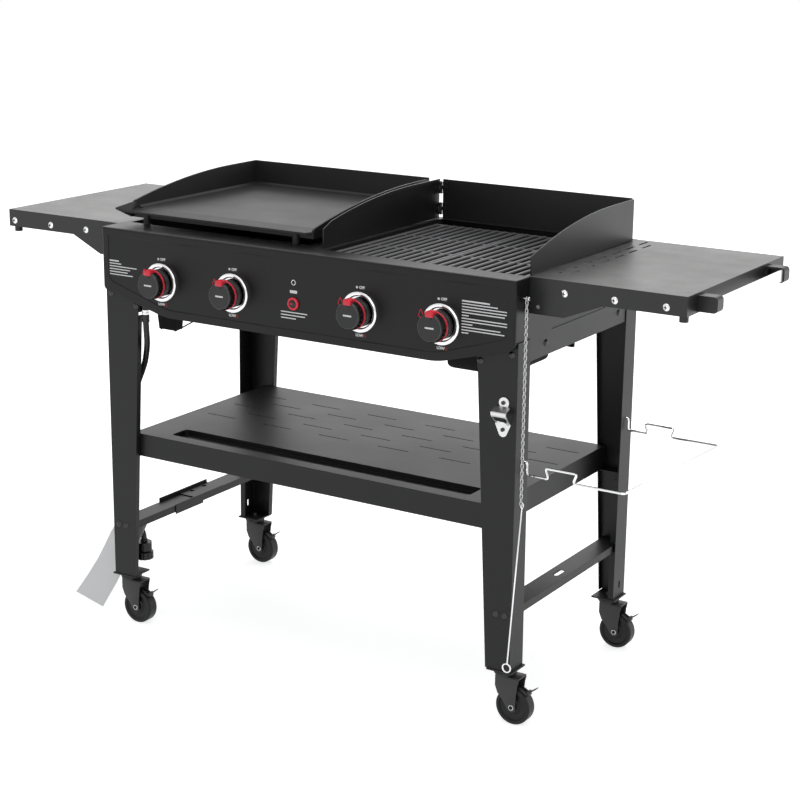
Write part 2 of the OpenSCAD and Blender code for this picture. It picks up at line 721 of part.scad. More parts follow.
module firebox() color([0.12, 0.12, 0.12]) placed() {
    side_wall(1);
    side_wall(-1);
    box_floor();
    divider();
    rear_wall();
    tray_rails();
    cup_hangers();
}

// Bulkhead between the control box and the cook box, with the tabs that the front legs bolt to
module burner_bulkhead() color([0.2, 0.2, 0.21]) placed() difference() {
    tab_x = [leg_out - leg_top_w - 2.5, wall_in];
    tab_z = leg_flange_top - 43.5;
    union() {
        block([-wall_in, wall_in], [box_y0, box_y0 + sheet_t], [floor_z, rim]);
        block([divider_x1 + ledge_w, half_w - rim_side_w], [box_y0, box_y0 + 20],
            [ledge_z - sheet_t, ledge_z]);
        block([-half_w + rim_side_w, divider_x0], [box_y0, griddle_rest_y], [rim - sheet_t, rim]);
        for (x = [burner_x[2], burner_x[3]])
            block([x - heat_plate_w / 2 - 4, x + heat_plate_w / 2 + 4],
                [box_y0, box_y0 + plate_ledge_w], [plate_ledge_z - 2 * sheet_t, plate_ledge_z - sheet_t]);
        for (s = [-1, 1]) on_side(s) {
            block(tab_x, [box_y0, box_y0 + sheet_t], [tab_z - sheet_t, floor_z + 1]);
            block(tab_x, [crossbar_y0, box_y0 + sheet_t], [tab_z - sheet_t, tab_z]);
            block(tab_x, [crossbar_y0, crossbar_y0 + sheet_t], [tab_z - sheet_t, leg_flange_top]);
        }
    }
    block([divider_x1 - sheet_t, half_w - rim_side_w], [box_y0 - 1, box_y0 + sheet_t + 1],
        [ledge_z, rim + 1]);
    for (x = burner_x) {
        pin_y(x, [box_y0 - 1, box_y0 + sheet_t + 1], burner_z, burner_r + 0.6);
        pin_y(x + 22, [box_y0 - 1, box_y0 + sheet_t + 1], burner_z + 6, electrode_r + 0.1);
    }
    for (s = [-1, 1], b = leg_bolts_front)
        pin_y(s * (leg_out - b[0]), [crossbar_y0 - 1, crossbar_y0 + sheet_t + 1], rim - b[1],
            bolt_r + bolt_fit);
}

// Burner: a ported tube with an open air mouth over the nozzle and a tab on the back ledge
module burner() difference() {
    union() {
        pin_y(0, [burner_front, burner_tab_y - 4], 0, burner_r);
        block([-10, 10], [burner_tab_y - 12, body_d - sheet_t - 4], [-2, 0]);
    }
    pin_y(0, [burner_front - 1, burner_tab_y - 10], 0, burner_r - burner_wall);
    for (k = [0:burner_ports - 1])
        translate([-burner_r - 1, 90 + k * (burner_tab_y - 120) / (burner_ports - 1), 2])
            cube([2 * burner_r + 2, 2, 2.5]);
    block([-6, 6], [burner_front + 4, burner_front + 11], [0, burner_r + 1]);
}

module burners() color([0.62, 0.62, 0.62]) placed()
    for (x = burner_x) translate([x, 0, burner_z]) burner();

module heat_plates() color([0.5, 0.5, 0.5]) placed() for (x = [burner_x[2], burner_x[3]]) {
    w = heat_plate_w / 2;
    z = plate_ledge_z - sheet_t;
    along_y([box_y0 + sheet_t + 1, body_d - sheet_t - 6]) translate([x, z]) polygon([
        [-w, 0], [-w, sheet_t], [-w + 6, sheet_t], [-4, heat_plate_rise], [4, heat_plate_rise],
        [w - 6, sheet_t], [w, sheet_t], [w, 0], [w - 7, 0], [3.4, heat_plate_rise - sheet_t],
        [-3.4, heat_plate_rise - sheet_t], [-w + 7, 0]]);
}

module spark_electrodes() color([0.9, 0.9, 0.86]) placed() for (x = burner_x) translate([x + 22, 0, burner_z + 6]) {
    pin_y(0, [box_y0 - 8, box_y0 + 36], 0, electrode_r);
    pin_y(0, [box_y0 + 1.6, box_y0 + 4.5], 0, electrode_r + 2);
    pin_y(0, [box_y0 + 36, box_y0 + 48], 0, 0.9);
    pin_x([-5, 0.6], box_y0 + 48, 0, 0.9);
}

// Legs: a tapered front flange and a side flange folded at the outer corner, lips on the free edges

module leg_front_outline() polygon([
    [leg_out - leg_top_w, leg_flange_top], [leg_out - leg_top_w, rim - 172],
    [leg_out - leg_bottom_w, leg_bottom], [leg_out, leg_bottom], [leg_out, leg_flange_top]]);

module leg_inner_lip() polygon([
    [leg_out - leg_top_w, rim - 172], [leg_out - leg_bottom_w, leg_bottom],
    [leg_out - leg_bottom_w + leg_t, leg_bottom], [leg_out - leg_top_w + leg_t, rim - 172]]);

// Width of the side flange at a height, and a stretch of the lip along its free edge
function leg_side(z) = leg_side_w + 2 - 5 * (z - leg_bottom) / (leg_top - leg_bottom);
module leg_side_lip(z) along_x([leg_out - leg_t - leg_lip, leg_out - leg_t]) polygon([
    [leg_side(z[0]) - leg_t, z[0]], [leg_side(z[0]), z[0]], [leg_side(z[1]), z[1]], [leg_side(z[1]) - leg_t, z[1]]]);

// One leg seen at the front right corner; depth runs inwards from its flat face at zero
module leg(bolts, lower_bolts, shelf_y) difference() {
    union() {
        along_y([0, leg_t]) leg_front_outline();
        along_y([0, leg_t + leg_lip]) leg_inner_lip();
        along_x([leg_out - leg_t, leg_out]) polygon([
            [0, leg_bottom], [leg_side(leg_bottom), leg_bottom], [leg_side(leg_top), leg_top], [0, leg_top]]);
        leg_side_lip([leg_bottom, crossbar_top - crossbar_lip - 4]);
        leg_side_lip([crossbar_top + 4, shelf_bottom - 8]);
        block([half_w - shelf_inset - 12, leg_out - leg_t], [leg_t, shelf_y + 14],
            [shelf_bottom - leg_t, shelf_bottom]);
        block([swivel_x - foot_plate_w / 2, swivel_x + foot_plate_w / 2],
            [25 - foot_plate_d / 2, 25 + foot_plate_d / 2], [race_top, leg_bottom]);
        pin_z(swivel_x, 25, [race_top - race_h, race_top], race_r);
    }
    for (b = concat(bolts, lower_bolts))
        pin_y(leg_out - b[0], [-1, leg_t + 1], rim - b[1], bolt_r + bolt_fit);
    pin_z(swivel_x, 25, [race_top - race_h - 1, leg_bottom + 1], swivel_r + run_fit);
}

module leg_at(side, rear) color([0.15, 0.15, 0.16]) placed() on_side(side) {
    if (rear) translate([0, rear_face, 0]) mirror([0, 1, 0]) difference() {
        leg(leg_bolts_rear, crossbar_bolts, rear_face - shelf_y1);
        along_x([leg_out - leg_t - 1, leg_out + 1]) translate([leg_side_w / 2, leg_bottom + 26]) slot([0, 0], 16, 6);
        if (side > 0) pin_x([leg_out - leg_t - 1, leg_out + 1], rear_face - bag_y[1], bag_z[1] + 24,
            bag_wire / 2 + 0.4);
    }
    else translate([0, leg_front_y, 0]) difference() {
        leg(leg_bolts_front, crossbar_bolts, shelf_y0 - leg_front_y);
        if (side > 0) {
            pin_x([leg_out - leg_t - 1, leg_out + 1], bag_y[0] - leg_front_y, bag_z[0] + 24,
                bag_wire / 2 + 0.4);
            for (z = opener_screws) pin_y(opener_x, [-1, leg_t + 1], z, screw_r + 0.2);
        }
    }
}

// Shelf: a tray turned down, with staggered slots and a shallow trough along the front
module bottom_shelf() color([0.16, 0.16, 0.16]) placed() {
    trough_x = [-343, 352];
    trough_y = [shelf_y0 + 28, shelf_y0 + 76];
    difference() {
        union() {
            difference() {
                block([-shelf_x, shelf_x], [shelf_y0, shelf_y1], [shelf_bottom, shelf_top]);
                block([-shelf_x + sheet_t, shelf_x - sheet_t], [shelf_y0 + sheet_t, shelf_y1 - sheet_t],
                    [shelf_bottom - 1, shelf_top - sheet_t]);
            }
            block(trough_x + [-sheet_t, sheet_t], trough_y + [-sheet_t, sheet_t],
                [shelf_top - 10 - sheet_t, shelf_top]);
        }
        translate([0, 0, shelf_top - 10]) linear_extrude(20) polygon(all_round(trough_x, trough_y, 8));
        pin_z(trough_x[0] + 20, trough_y[0] + 24, [shelf_top - 20, shelf_top], 4);
        translate([0, 0, shelf_top - sheet_t - 1]) linear_extrude(sheet_t + 2)
            for (row = [0:4], k = [0:5 - row % 2])
                translate([slit_x0 + slit_pitch * (k + (row % 2) / 2), slit_y0 + slit_row * row])
                    rotate(90) slot([0, 0], slit_length, slit_w);
    }
}

module crossbar(side) on_side(side) difference() {
    union() {
        block([crossbar_x0, crossbar_x1], [crossbar_y0, crossbar_y1], [crossbar_top - sheet_t, crossbar_top]);
        for (x = [crossbar_x0, crossbar_x1 - sheet_t])
            block([x, x + sheet_t], [crossbar_y0 + 12, crossbar_y1 - 12],
                [crossbar_top - crossbar_lip, crossbar_top]);
        for (y = [crossbar_y0, crossbar_y1 - sheet_t])
            block([crossbar_x0, crossbar_x1], [y, y + sheet_t], [crossbar_top - crossbar_lip, crossbar_top]);
    }
    for (b = crossbar_bolts) pin_y(leg_out - b[0], [crossbar_y0 - 1, crossbar_y1 + 1], rim - b[1],
        bolt_r + bolt_fit);
    if (side > 0) translate([0, 0, crossbar_top - sheet_t - 1]) linear_extrude(sheet_t + 2)
        slot([crossbar_x0 + crossbar_w / 2, 247], 35, 12);
    else tank_slots(0.5);
}

module crossbars() color([0.15, 0.15, 0.16]) placed() {
    crossbar(1);
    crossbar(-1);
}

// Bracket for the gas cylinder, a saddle over the left crossbar with two square holes
module tank_bracket() color([0.25, 0.25, 0.26]) placed() difference() {
    union() {
        block([-crossbar_x1 - leg_t, -crossbar_x0 + leg_t], [saddle_y0 + saddle_tongue, saddle_y1],
            [crossbar_top, crossbar_top + leg_t]);
        block([-crossbar_x1 - leg_t, -crossbar_x1], [saddle_y0, saddle_y1],
            [crossbar_top - saddle_wing, crossbar_top + saddle_wing]);
        block([-crossbar_x0, -crossbar_x0 + leg_t], [saddle_y0, saddle_y0 + saddle_skirt],
            [crossbar_top - crossbar_lip - 4, crossbar_top + leg_t]);
    }
    mirror([1, 0, 0]) tank_slots(0);
}

// The two square holes that take the hooks of the gas cylinder's strap
module tank_slots(grow) for (y = strap_hole_y) translate([strap_hole_x, y, crossbar_top])
    cube([strap_hole + 2 * grow, strap_hole + 2 * grow, 10], center = true);

// Bolts with domed heads and nuts, and the two opener screws
module dome_bolt(grip) {
    ball = (bolt_head_r * bolt_head_r + bolt_head_h * bolt_head_h) / (2 * bolt_head_h);
    rotate([90, 0, 0]) rotate_extrude() intersection() {
        translate([0, bolt_head_h - ball]) circle(ball, $fn = 96);
        square([bolt_head_r, bolt_head_h]);
    }
    pin_y(0, [-eps, grip + nut_h + 1.5], 0, bolt_r);
    translate([0, grip, 0]) rotate([-90, 0, 0]) cylinder(h = nut_h, r = bolt_r * 1.9, $fn = 6);
}

module frame_bolts() color([0.8, 0.8, 0.82]) placed() {
    for (s = [-1, 1]) {
        for (b = leg_bolts_front)
            translate([s * (leg_out - b[0]), leg_front_y, rim - b[1]]) dome_bolt(leg_t + sheet_t);
        for (b = crossbar_bolts)
            translate([s * (leg_out - b[0]), leg_front_y, rim - b[1]]) dome_bolt(leg_t + sheet_t);
        for (b = concat(leg_bolts_rear, crossbar_bolts))
            translate([s * (leg_out - b[0]), rear_face, rim - b[1]]) rotate([0, 0, 180])
                dome_bolt(leg_t + sheet_t);
        for (y = side_bolts_y) translate([s * half_w, y, side_bolts_z]) rotate([0, 0, 90 * s])
            dome_bolt(sheet_t);
    }
    for (d = table_bolts_right) translate([half_w + d, box_y0, table_bolts_z]) dome_bolt(sheet_t);
    for (d = table_bolts_left) translate([-half_w - d, box_y0, table_bolts_z]) dome_bolt(sheet_t);
    pin_x([wall_in - 3, chain_x + 4], chain_y, hook_pin_z, hook_pin_r);
    pin_x([chain_x + 4, chain_x + 6], chain_y, hook_pin_z, 3.5);
    for (z = opener_screws) {
        pin_y(opener_x, [leg_front_y - opener_t, leg_front_y + 8], z, screw_r);
        pin_y(opener_x, [leg_front_y - opener_t - 2, leg_front_y - opener_t], z, 3.6);
    }
}

// Bottle opener: a pressed strip with a tab, a hood that stands out, a tooth and a tapered plate
module bottle_opener() color([0.75, 0.75, 0.77]) placed() {
    y0 = leg_front_y - opener_t;
    y1 = leg_front_y - opener_reach;
    z1 = opener_screws[0] - 6;
    z2 = opener_screws[1] + 14;
    difference() {
        union() {
            along_y([y0, leg_front_y]) {
                translate([opener_x + 1, opener_screws[0]]) circle(10);
                hull() {
                    translate([opener_x, opener_screws[1] - 5]) circle(8.4);
                    translate([opener_x - opener_w / 2, z2 - 6]) square([opener_w, 5]);
                }
            }
            along_x([opener_x - opener_w / 2, opener_x + opener_w / 2]) polygon([
                [leg_front_y, z1], [y1, z1 - 7.5], [y1 - 1, z1 - 9], [y1, z1 - 14], [y1 + 3, z1 - 18],
                [y0, z2 - 3], [leg_front_y, z2 - 3], [leg_front_y, z2], [y0, z2], [y1 + 5, z1 - 16],
                [y1 + opener_t, z1 - 13], [y1 + opener_t, z1 - 9], [leg_front_y, z1 - 2]]);
        }
        for (z = opener_screws) pin_y(opener_x, [y0 - 1, leg_front_y + 1], z, screw_r + 0.1);
        along_y([y1 - 2, y0 + 0.9]) translate([opener_x - opener_w / 2 + 2.4, z2 - 4])
            square([opener_w - 4.8, z1 - z2 - 13]);
        along_y([y0 - 2, leg_front_y + 1]) for (side = [-1, 1])
            translate([opener_x + 1 + side * 15.6, z1 + 1]) circle(5.6);
    }
    along_y([y0 - 3.5, leg_front_y]) intersection() {
        translate([opener_x, z2 - 14]) circle(15);
        translate([opener_x - 11.5, z2 - 5]) square([23, 8]);
    }
}

// Match chain: a hook on a pin, oval links turned a quarter turn from each other, and the rod below

module half_ring(w, r) rotate([90, 0, 0]) rotate_extrude(angle = 180, $fn = 24) translate([w, 0]) circle(r, $fn = 16);

module link() {
    w = (link_gap_w + link_wire) / 2;
    straight = (link_inner - link_gap_w) / 2;
    translate([0, 0, straight]) half_ring(w, link_wire / 2);
    translate([0, 0, -straight]) rotate([180, 0, 0]) half_ring(w, link_wire / 2);
    for (s = [-1, 1]) pin_z(s * w, 0, [-straight, straight], link_wire / 2, $fn = 16);
}

module match_chain() color([0.8, 0.8, 0.82]) placed() {
    translate([chain_x, chain_y, chain_top])
        for (k = [0:links - 1]) translate([0, 0, -(k + 0.5) * link_pitch]) rotate([0, 0, 90 * (k % 2)]) link();
    ring_at([chain_x, chain_y, chain_top + hook_r - 1.2], hook_r, link_wire, 0);
}

module ring_at(at, r, wire, lean) translate(at) rotate([lean, 0, 0]) rotate([0, 90, 0])
    rotate_extrude($fn = 40) translate([r, 0]) circle(wire / 2, $fn = 16);

module match_rod() color([0.8, 0.8, 0.82]) placed() translate([chain_x, chain_y, chain_end]) {
    ring_at([0, 0, -rod_ring_r + 1.6], rod_ring_r, 2, 0);
    translate([0, 0, -2 * rod_ring_r + 1.6]) rotate([rod_lean, 0, 0]) {
        pin_z(0, 0, [-rod_len, 0.4], 1.5);
        ring_at([0, 0, -rod_len - rod_ring_r + 0.4], rod_ring_r, 2, 0);
    }
}

// Side tables: a turned-down tray whose front corner by the box is deepened into a bracket

module table_shell(drop, reach, foot, plug_x) {
    outline = [[half_w, rim - drop], [half_w + reach, rim - drop], [half_w + foot, rim - skirt_h],
        [table_x1, rim - skirt_h], [table_x1, rim], [half_w, rim]];
    difference() {
        block([half_w, table_x1], [box_y0, table_y1], [rim - drop, rim]);
        block([half_w + sheet_t, table_x1 - sheet_t], [box_y0 + sheet_t, table_y1 - sheet_t],
            [rim - drop - 1, rim - sheet_t]);
        along_y([box_y0 - 1, table_y1 + 1]) difference() {
            translate([half_w - 1, rim - drop - 1]) square([table_w + 2, drop + 2]);
            polygon(outline);
        }
        block([half_w - 1, table_x1 + 1], [box_y0 + 60, table_y1 - 60], [rim - drop - 1, rim - skirt_h]);
        pin_y(half_w + 17, [box_y0 - 1, box_y0 + sheet_t + 1], rim - 52, 3.5);
    }
    for (y = [[box_y0 + sheet_t, box_y0 + 16], [table_y1 - 16, table_y1 - sheet_t]]) difference() {
        block([table_x1 - 30, table_x1 - sheet_t], y, [rim - skirt_h, rim - skirt_h + sheet_t]);
        for (p = [box_y0 + plug_in, table_y1 - plug_in])
            pin_z(plug_x, p, [rim - skirt_h - 1, rim - skirt_h + sheet_t + 1], plug_stem_r + 0.1);
    }
}

module table_left() color([0.3, 0.3, 0.31]) placed() on_side(-1) difference() {
    table_shell(bracket_drop_left, 50, 120, table_x1 - plug_in_left);
    for (d = table_bolts_left) pin_y(half_w + d, [box_y0 - 1, box_y0 + sheet_t + 1], table_bolts_z,
        bolt_r + bolt_fit);
}

module table_right() color([0.3, 0.3, 0.31]) placed() difference() {
    table_shell(bracket_drop_right, 68, 142, table_x1 - plug_in);
    for (d = table_bolts_right) pin_y(half_w + d, [box_y0 - 1, box_y0 + sheet_t + 1], table_bolts_z,
        bolt_r + bolt_fit);
    translate([0, 0, rim - sheet_t - 1]) linear_extrude(sheet_t + 2)
        for (k = [0:6]) {
            slot([half_w + 26.5, box_y0 + 47 + 60 * k], 37, 5);
            if (k < 6) slot([half_w + 46, box_y0 + 78 + 60 * k], 37, 5);
        }
    for (y = bar_screw_y) pin_x([table_x1 - sheet_t - 1, table_x1 + 1], y, rim - 18, 2.4);
}

module table_foot(x, y) {
    pin_z(x, y, [rim - skirt_h - plug_h, rim - skirt_h], plug_r);
    pin_z(x, y, [rim - skirt_h, rim - skirt_h + 5], plug_stem_r);
}

module table_feet() color([0.04, 0.04, 0.04]) placed()
    for (x = [table_x1 - plug_in, -table_x1 + plug_in_left], y = [box_y0 + plug_in, table_y1 - plug_in])
        table_foot(x, y);

module towel_bar() color([0.8, 0.8, 0.8]) placed() along_x([bar_x - towel_bar_t / 2, bar_x + towel_bar_t / 2])
    polygon(rect_pts([bar_end_y[0] + bar_bracket_len - bar_bury, bar_end_y[1] - bar_bracket_len + bar_bury],
        [bar_z - towel_bar_h / 2, bar_z + towel_bar_h / 2]));

module towel_bar_bracket(y0, inner) difference() {
    along_y([y0, y0 + bar_bracket_len]) polygon(rounded(
        [[table_x1, bar_bracket_top - bar_bracket_h], [table_x1 + bar_reach, bar_bracket_top - bar_bracket_h],
         [table_x1 + bar_reach, bar_bracket_top], [table_x1, bar_bracket_top]],
        [0, 7, 7, 0]));
    block([table_x1 + 4, bar_x - towel_bar_t / 2 - 5], [y0 + (inner ? -1 : 4), y0 + bar_bracket_len + (inner ? -4 : 1)],
        [bar_bracket_top - bar_bracket_h + 4, bar_bracket_top - 4]);
    block([bar_x - towel_bar_t / 2 - 0.1, bar_x + towel_bar_t / 2 + 0.1],
        inner ? [y0 - 1, y0 + bar_bury] : [y0 + bar_bracket_len - bar_bury, y0 + bar_bracket_len + 1],
        [bar_z - towel_bar_h / 2 - 0.1, bar_z + towel_bar_h / 2 + 0.1]);
}

module towel_bar_brackets() color([0.05, 0.05, 0.05]) placed() {
    towel_bar_bracket(bar_end_y[0], false);
    towel_bar_bracket(bar_end_y[1] - bar_bracket_len, true);
}

// Grease tray: a deep pan with rounded lower edges and two flanges on the rails
module tray_shape(inset) intersection() {
    along_y([tray_y[0] + inset, tray_y[1] - inset]) polygon(rounded(
        [[tray_x[0] + inset, tray_bottom + inset], [tray_x[1] - inset, tray_bottom + inset],
         [tray_x[1] - inset, floor_z - 3], [tray_x[0] + inset, floor_z - 3]], [12 - inset, 12 - inset, 0, 0]));
    along_x([tray_x[0] + inset, tray_x[1] - inset]) polygon(rounded(
        [[tray_y[0] + inset, tray_bottom + inset], [tray_y[1] - inset, tray_bottom + inset],
         [tray_y[1] - inset, floor_z - 3], [tray_y[0] + inset, floor_z - 3]], [12 - inset, 12 - inset, 0, 0]));
}

module grease_tray() color([0.3, 0.3, 0.3]) placed() difference() {
    rim_z = tray_rail_z + seat_gap;
    union() {
        intersection() {
            tray_shape(0);
            block(tray_x, tray_y, [tray_bottom - 1, rim_z + tray_t]);
        }
        block(tray_x, [tray_y[0] - 7, tray_y[1] + 7], [rim_z, rim_z + tray_t]);
        pin_y(tray_x[1] - 6, [tray_y[0] + 60, tray_y[1] - 60], rim_z + tray_t - 1.5, 1.5);
    }
    tray_shape(tray_t);
    block([tray_x[0] + tray_t, tray_x[1] - tray_t], [tray_y[0] + tray_t, tray_y[1] - tray_t],
        [rim_z, rim_z + 5]);
}

// Grease cup under the griddle's drain, on a wire loop hooked under the floor
module grease_cup() color([0.15, 0.15, 0.15]) placed() {
    difference() {
        block(cup_x, cup_y + [-4, 4], [cup_top - 1, cup_top]);
        block(cup_x + [1.2, -1.2], cup_y + [1.2, -1.2], [cup_top - 2, cup_top + 1]);
    }
    for (x = [cup_x[0] + 8, cup_x[1] - 8]) tube(bent([[x, cup_y[0] + 6, cup_bottom - 1.2],
        [x, cup_y[1], cup_bottom + 2], [x, cup_y[1] + 106, cup_bottom + 19], [x, cup_y[1] + 112, floor_z - 4]],
        10, 3), 1.5, 8, [1, 0, 0]);
    difference() {
        hull() {
            block(cup_x, cup_y, [cup_top - 1, cup_top]);
            block(cup_x + [5, -5], cup_y + [4, -4], [cup_bottom, cup_bottom + 1]);
        }
        hull() {
            block(cup_x + [1.2, -1.2], cup_y + [1.2, -1.2], [cup_top, cup_top + 1]);
            block(cup_x + [6, -6], cup_y + [5.2, -5.2], [cup_bottom + 1.5, cup_bottom + 2.5]);
        }
    }
}

// Griddle: a plate in a three-sided frame, a sloping front lip, a pouring corner and four feet

function arch_z(y, top, flat_y, k) = y > flat_y ? top : top - k * pow(flat_y - y, 2);
function arch(y0, y1, top, flat_y, k, n) =
    [for (i = [0:n]) let (y = y0 + (y1 - y0) * i / n) [y, arch_z(y, top, flat_y, k)]];

module griddle_side(top, flat_y, k) polygon(concat(
    arch(griddle_y0 + 19, flat_y, rim + top, flat_y, k, 12),
    [[griddle_y1, rim + top], [griddle_y1, rim + griddle_skirt_up], [griddle_y0 + 11, rim + griddle_skirt_up],
     [griddle_y0 + 11, plate_top]]));

// Spout: the left wall's front end bent out to a tip beside the lip
module griddle_spout() hull() {
    translate([griddle_x0, griddle_y0 + 18, rim + griddle_skirt_up]) cube([griddle_t, 8, 29]);
    translate([griddle_x0 - 29, griddle_y0 - 3, rim + 27]) cube(3);
    translate([griddle_x0, griddle_y0, plate_top - lip_drop - griddle_t]) cube([8, 6, griddle_t]);
    translate([griddle_x0, griddle_y0 + 9, rim + griddle_skirt_up]) cube([4, 4, 6]);
}
module griddle() color([0.17, 0.17, 0.17]) placed() translate([0, 0, seat_gap]) difference() {
    union() {
        block([griddle_x0, griddle_x1], [griddle_crease_y, griddle_y1], [plate_top - griddle_t, plate_top]);
        difference() {
            along_x([griddle_x0, griddle_x1]) polygon([
                [griddle_y0, plate_top - lip_drop - griddle_t], [griddle_y0, plate_top - lip_drop],
                [griddle_crease_y, plate_top], [griddle_crease_y, plate_top - griddle_t]]);
            translate([griddle_x1, griddle_y0, rim]) rotate(45) cube([16, 16, 100], center = true);
        }
        block([griddle_x0, griddle_x1], [griddle_y1 - griddle_t, griddle_y1],
            [rim + griddle_skirt_up, rim + griddle_top_up]);
        along_x([griddle_x0, griddle_x0 + griddle_t]) griddle_side(griddle_top_up, 400, 0.00033);
        along_x([griddle_x1 - griddle_t, griddle_x1]) griddle_side(griddle_top_up - 3, 440, 0.00032);
        block([griddle_x0, griddle_x1], [griddle_y0 + 11, griddle_y0 + 14],
            [rim + griddle_skirt_up, plate_top - griddle_t]);
        along_x([griddle_x0, griddle_x1]) polygon([[griddle_y1 - griddle_t - 4, plate_top],
            [griddle_y1 - griddle_t, plate_top], [griddle_y1 - griddle_t, plate_top + 4]]);
        for (m = [0, 1]) translate([m ? griddle_x0 + griddle_x1 : 0, 0, 0]) mirror([m, 0, 0])
            along_y([griddle_crease_y, griddle_y1]) polygon([[griddle_x0 + griddle_t, plate_top],
                [griddle_x0 + griddle_t + 4, plate_top], [griddle_x0 + griddle_t, plate_top + 4]]);
        griddle_spout();
        for (x = griddle_foot_x, y = griddle_foot_y)
            pin_z(x, y, [rim, plate_top - griddle_t + eps], griddle_foot_r);
    }
    pin_z(griddle_x0 + 11, griddle_y0 + 28, [rim + griddle_skirt_up - 1, plate_top + 5], 4);
}

// Cooking grates: bars along the depth, joined by end bars and two lower cross bars
module grate(x0, x1) {
    pitch = (x1 - x0 - bar_w) / (grate_bars - 1);
    z1 = ledge_z + seat_gap + bar_h;
    y = [box_y0 + 4, grate_y1];
    for (k = [0:grate_bars - 1]) along_y(y) translate([x0 + bar_w / 2 + k * pitch, z1])
        polygon([[-bar_w / 2 + 1.2, -bar_h], [bar_w / 2 - 1.2, -bar_h], [bar_w / 2, -2], [bar_w / 2 - 1.5, 0],
            [-bar_w / 2 + 1.5, 0], [-bar_w / 2, -2]]);
    for (yy = [y[0], y[1] - 6]) block([x0 + 1, x1 - 1], [yy, yy + 6], [z1 - bar_h, z1 - 1]);
    for (yy = [y[0] + 118, y[0] + 245]) block([x0 + 1, x1 - 1], [yy - 3, yy + 3], [z1 - bar_h, z1 - 2]);
}

module grate_left() color([0.35, 0.35, 0.36]) placed() grate(grate_x0, grate_mid - 0.5);
module grate_right() color([0.35, 0.35, 0.36]) placed() grate(grate_mid + 0.5, grate_x1);

// Windshield: two arched side panels hinged at the corners of a fixed back panel

function shield_top(y, in, k) = arch_z(y, rim + shield_up, shield_rear_y - 100, k)
    - 0.0068 * pow(max(0, 90 - y), 2) * (k < 0.0004 ? 1 : 0) - in;
function shield_outline(in, y1, k) =
    let (y0 = shield_y0 + in, n = 16)
    concat([[y0, rim + shield_gap]],
        [for (i = [0:n]) let (y = y0 + (y1 - in - y0) * i / n) [y, shield_top(y, in, k)]],
        [[y1 - in, rim + shield_gap]]);

module side_leaf(hx, hy, dir) for (z = hinge_up) {
    for (s = [-1, 1]) {
        zc = s < 0 ? [rim + z - hinge_h / 2, rim + z - hinge_h / 6 - knuckle_gap]
            : [rim + z + hinge_h / 6 + knuckle_gap, rim + z + hinge_h / 2];
        difference() {
            union() {
                pin_z(hx, hy, zc, knuckle_r);
                translate([dir > 0 ? hx - knuckle_r - shield_t : hx, hy - knuckle_r, zc[0]])
                    cube([knuckle_r + shield_t, shield_t + 0.4, zc[1] - zc[0]]);
            }
            pin_z(hx, hy, [zc[0] - 1, zc[1] + 1], hinge_pin_r + run_fit);
        }
    }
    x = dir > 0 ? [hx - knuckle_r - shield_t, hx - knuckle_r] : [hx + knuckle_r, hx + knuckle_r + shield_t];
    block(x, [hy - knuckle_r - 14, hy - knuckle_r + shield_t], [rim + z - hinge_h / 2, rim + z + hinge_h / 2]);
    pin_x(dir > 0 ? x + [0, 0.8] : x - [0.8, 0], hy - knuckle_r - 8, rim + z, 2);
}

module shield_side(x_out, dir, hx, hy, y1, k) {
    x = dir > 0 ? [x_out, x_out + shield_t] : [x_out - shield_t, x_out];
    hem = dir > 0 ? [x_out + shield_t, x_out + 2 * shield_t] : [x_out - 2 * shield_t, x_out - shield_t];
    along_x(x) polygon(shield_outline(0, y1, k));
    along_x(hem) difference() {
        polygon(shield_outline(0, y1, k));
        polygon(shield_outline(hem_w, y1, k));
        translate([hy - 30, rim]) square([40, shield_up - hem_w]);
    }
    side_leaf(hx, hy, dir);
}

module windshield_left() color([0.09, 0.09, 0.1]) placed()
    shield_side(shield_left_x, 1, hinge_x_left, hinge_y_left, hinge_y_left + 2.2, 0.00037);
module windshield_right() color([0.09, 0.09, 0.1]) placed()
    shield_side(shield_right_x, -1, hinge_x_right, hinge_y_right, hinge_y_right - 2.4, 0.00046);

module windshield_rear() color([0.09, 0.09, 0.1]) placed() {
    x = [hinge_x_left + knuckle_r, hinge_x_right - knuckle_r];
    block(x, [shield_rear_y, shield_rear_y + shield_t], [rim, rim + shield_up]);
    block(x, [shield_rear_y, shield_rear_y + 2 * shield_t], [rim + shield_up - hem_w, rim + shield_up]);
    block(x, [shield_rear_y, body_d], [rim, rim + shield_t]);
}

module hinge_fixed(hx, hy, dir) for (z = hinge_up) {
    zc = [rim + z - hinge_h / 6, rim + z + hinge_h / 6];
    x = dir > 0 ? [hx, hx + knuckle_r + 12] : [hx - knuckle_r - 12, hx];
    pad = dir > 0 ? [hx + knuckle_r, x[1]] : [x[0], hx - knuckle_r];
    pin_z(hx, hy, zc, knuckle_r);
    block(x, [hy + knuckle_r - shield_t - 0.4, hy + knuckle_r], zc);
    block(pad, [hy + knuckle_r - shield_t - 0.4, shield_rear_y], [rim + z - hinge_h / 2, rim + z + hinge_h / 2]);
    pin_z(hx, hy, [rim + z - hinge_h / 2 - 0.8, rim + z + hinge_h / 2 + 0.8], hinge_pin_r);
    pin_y((pad[0] + pad[1]) / 2, [hy + knuckle_r - shield_t - 1.2, hy + knuckle_r - shield_t], rim + z, 2);
}

module windshield_hinge_pins() color([0.6, 0.6, 0.6]) placed() {
    hinge_fixed(hinge_x_left, hinge_y_left, 1);
    hinge_fixed(hinge_x_right, hinge_y_right, -1);
}

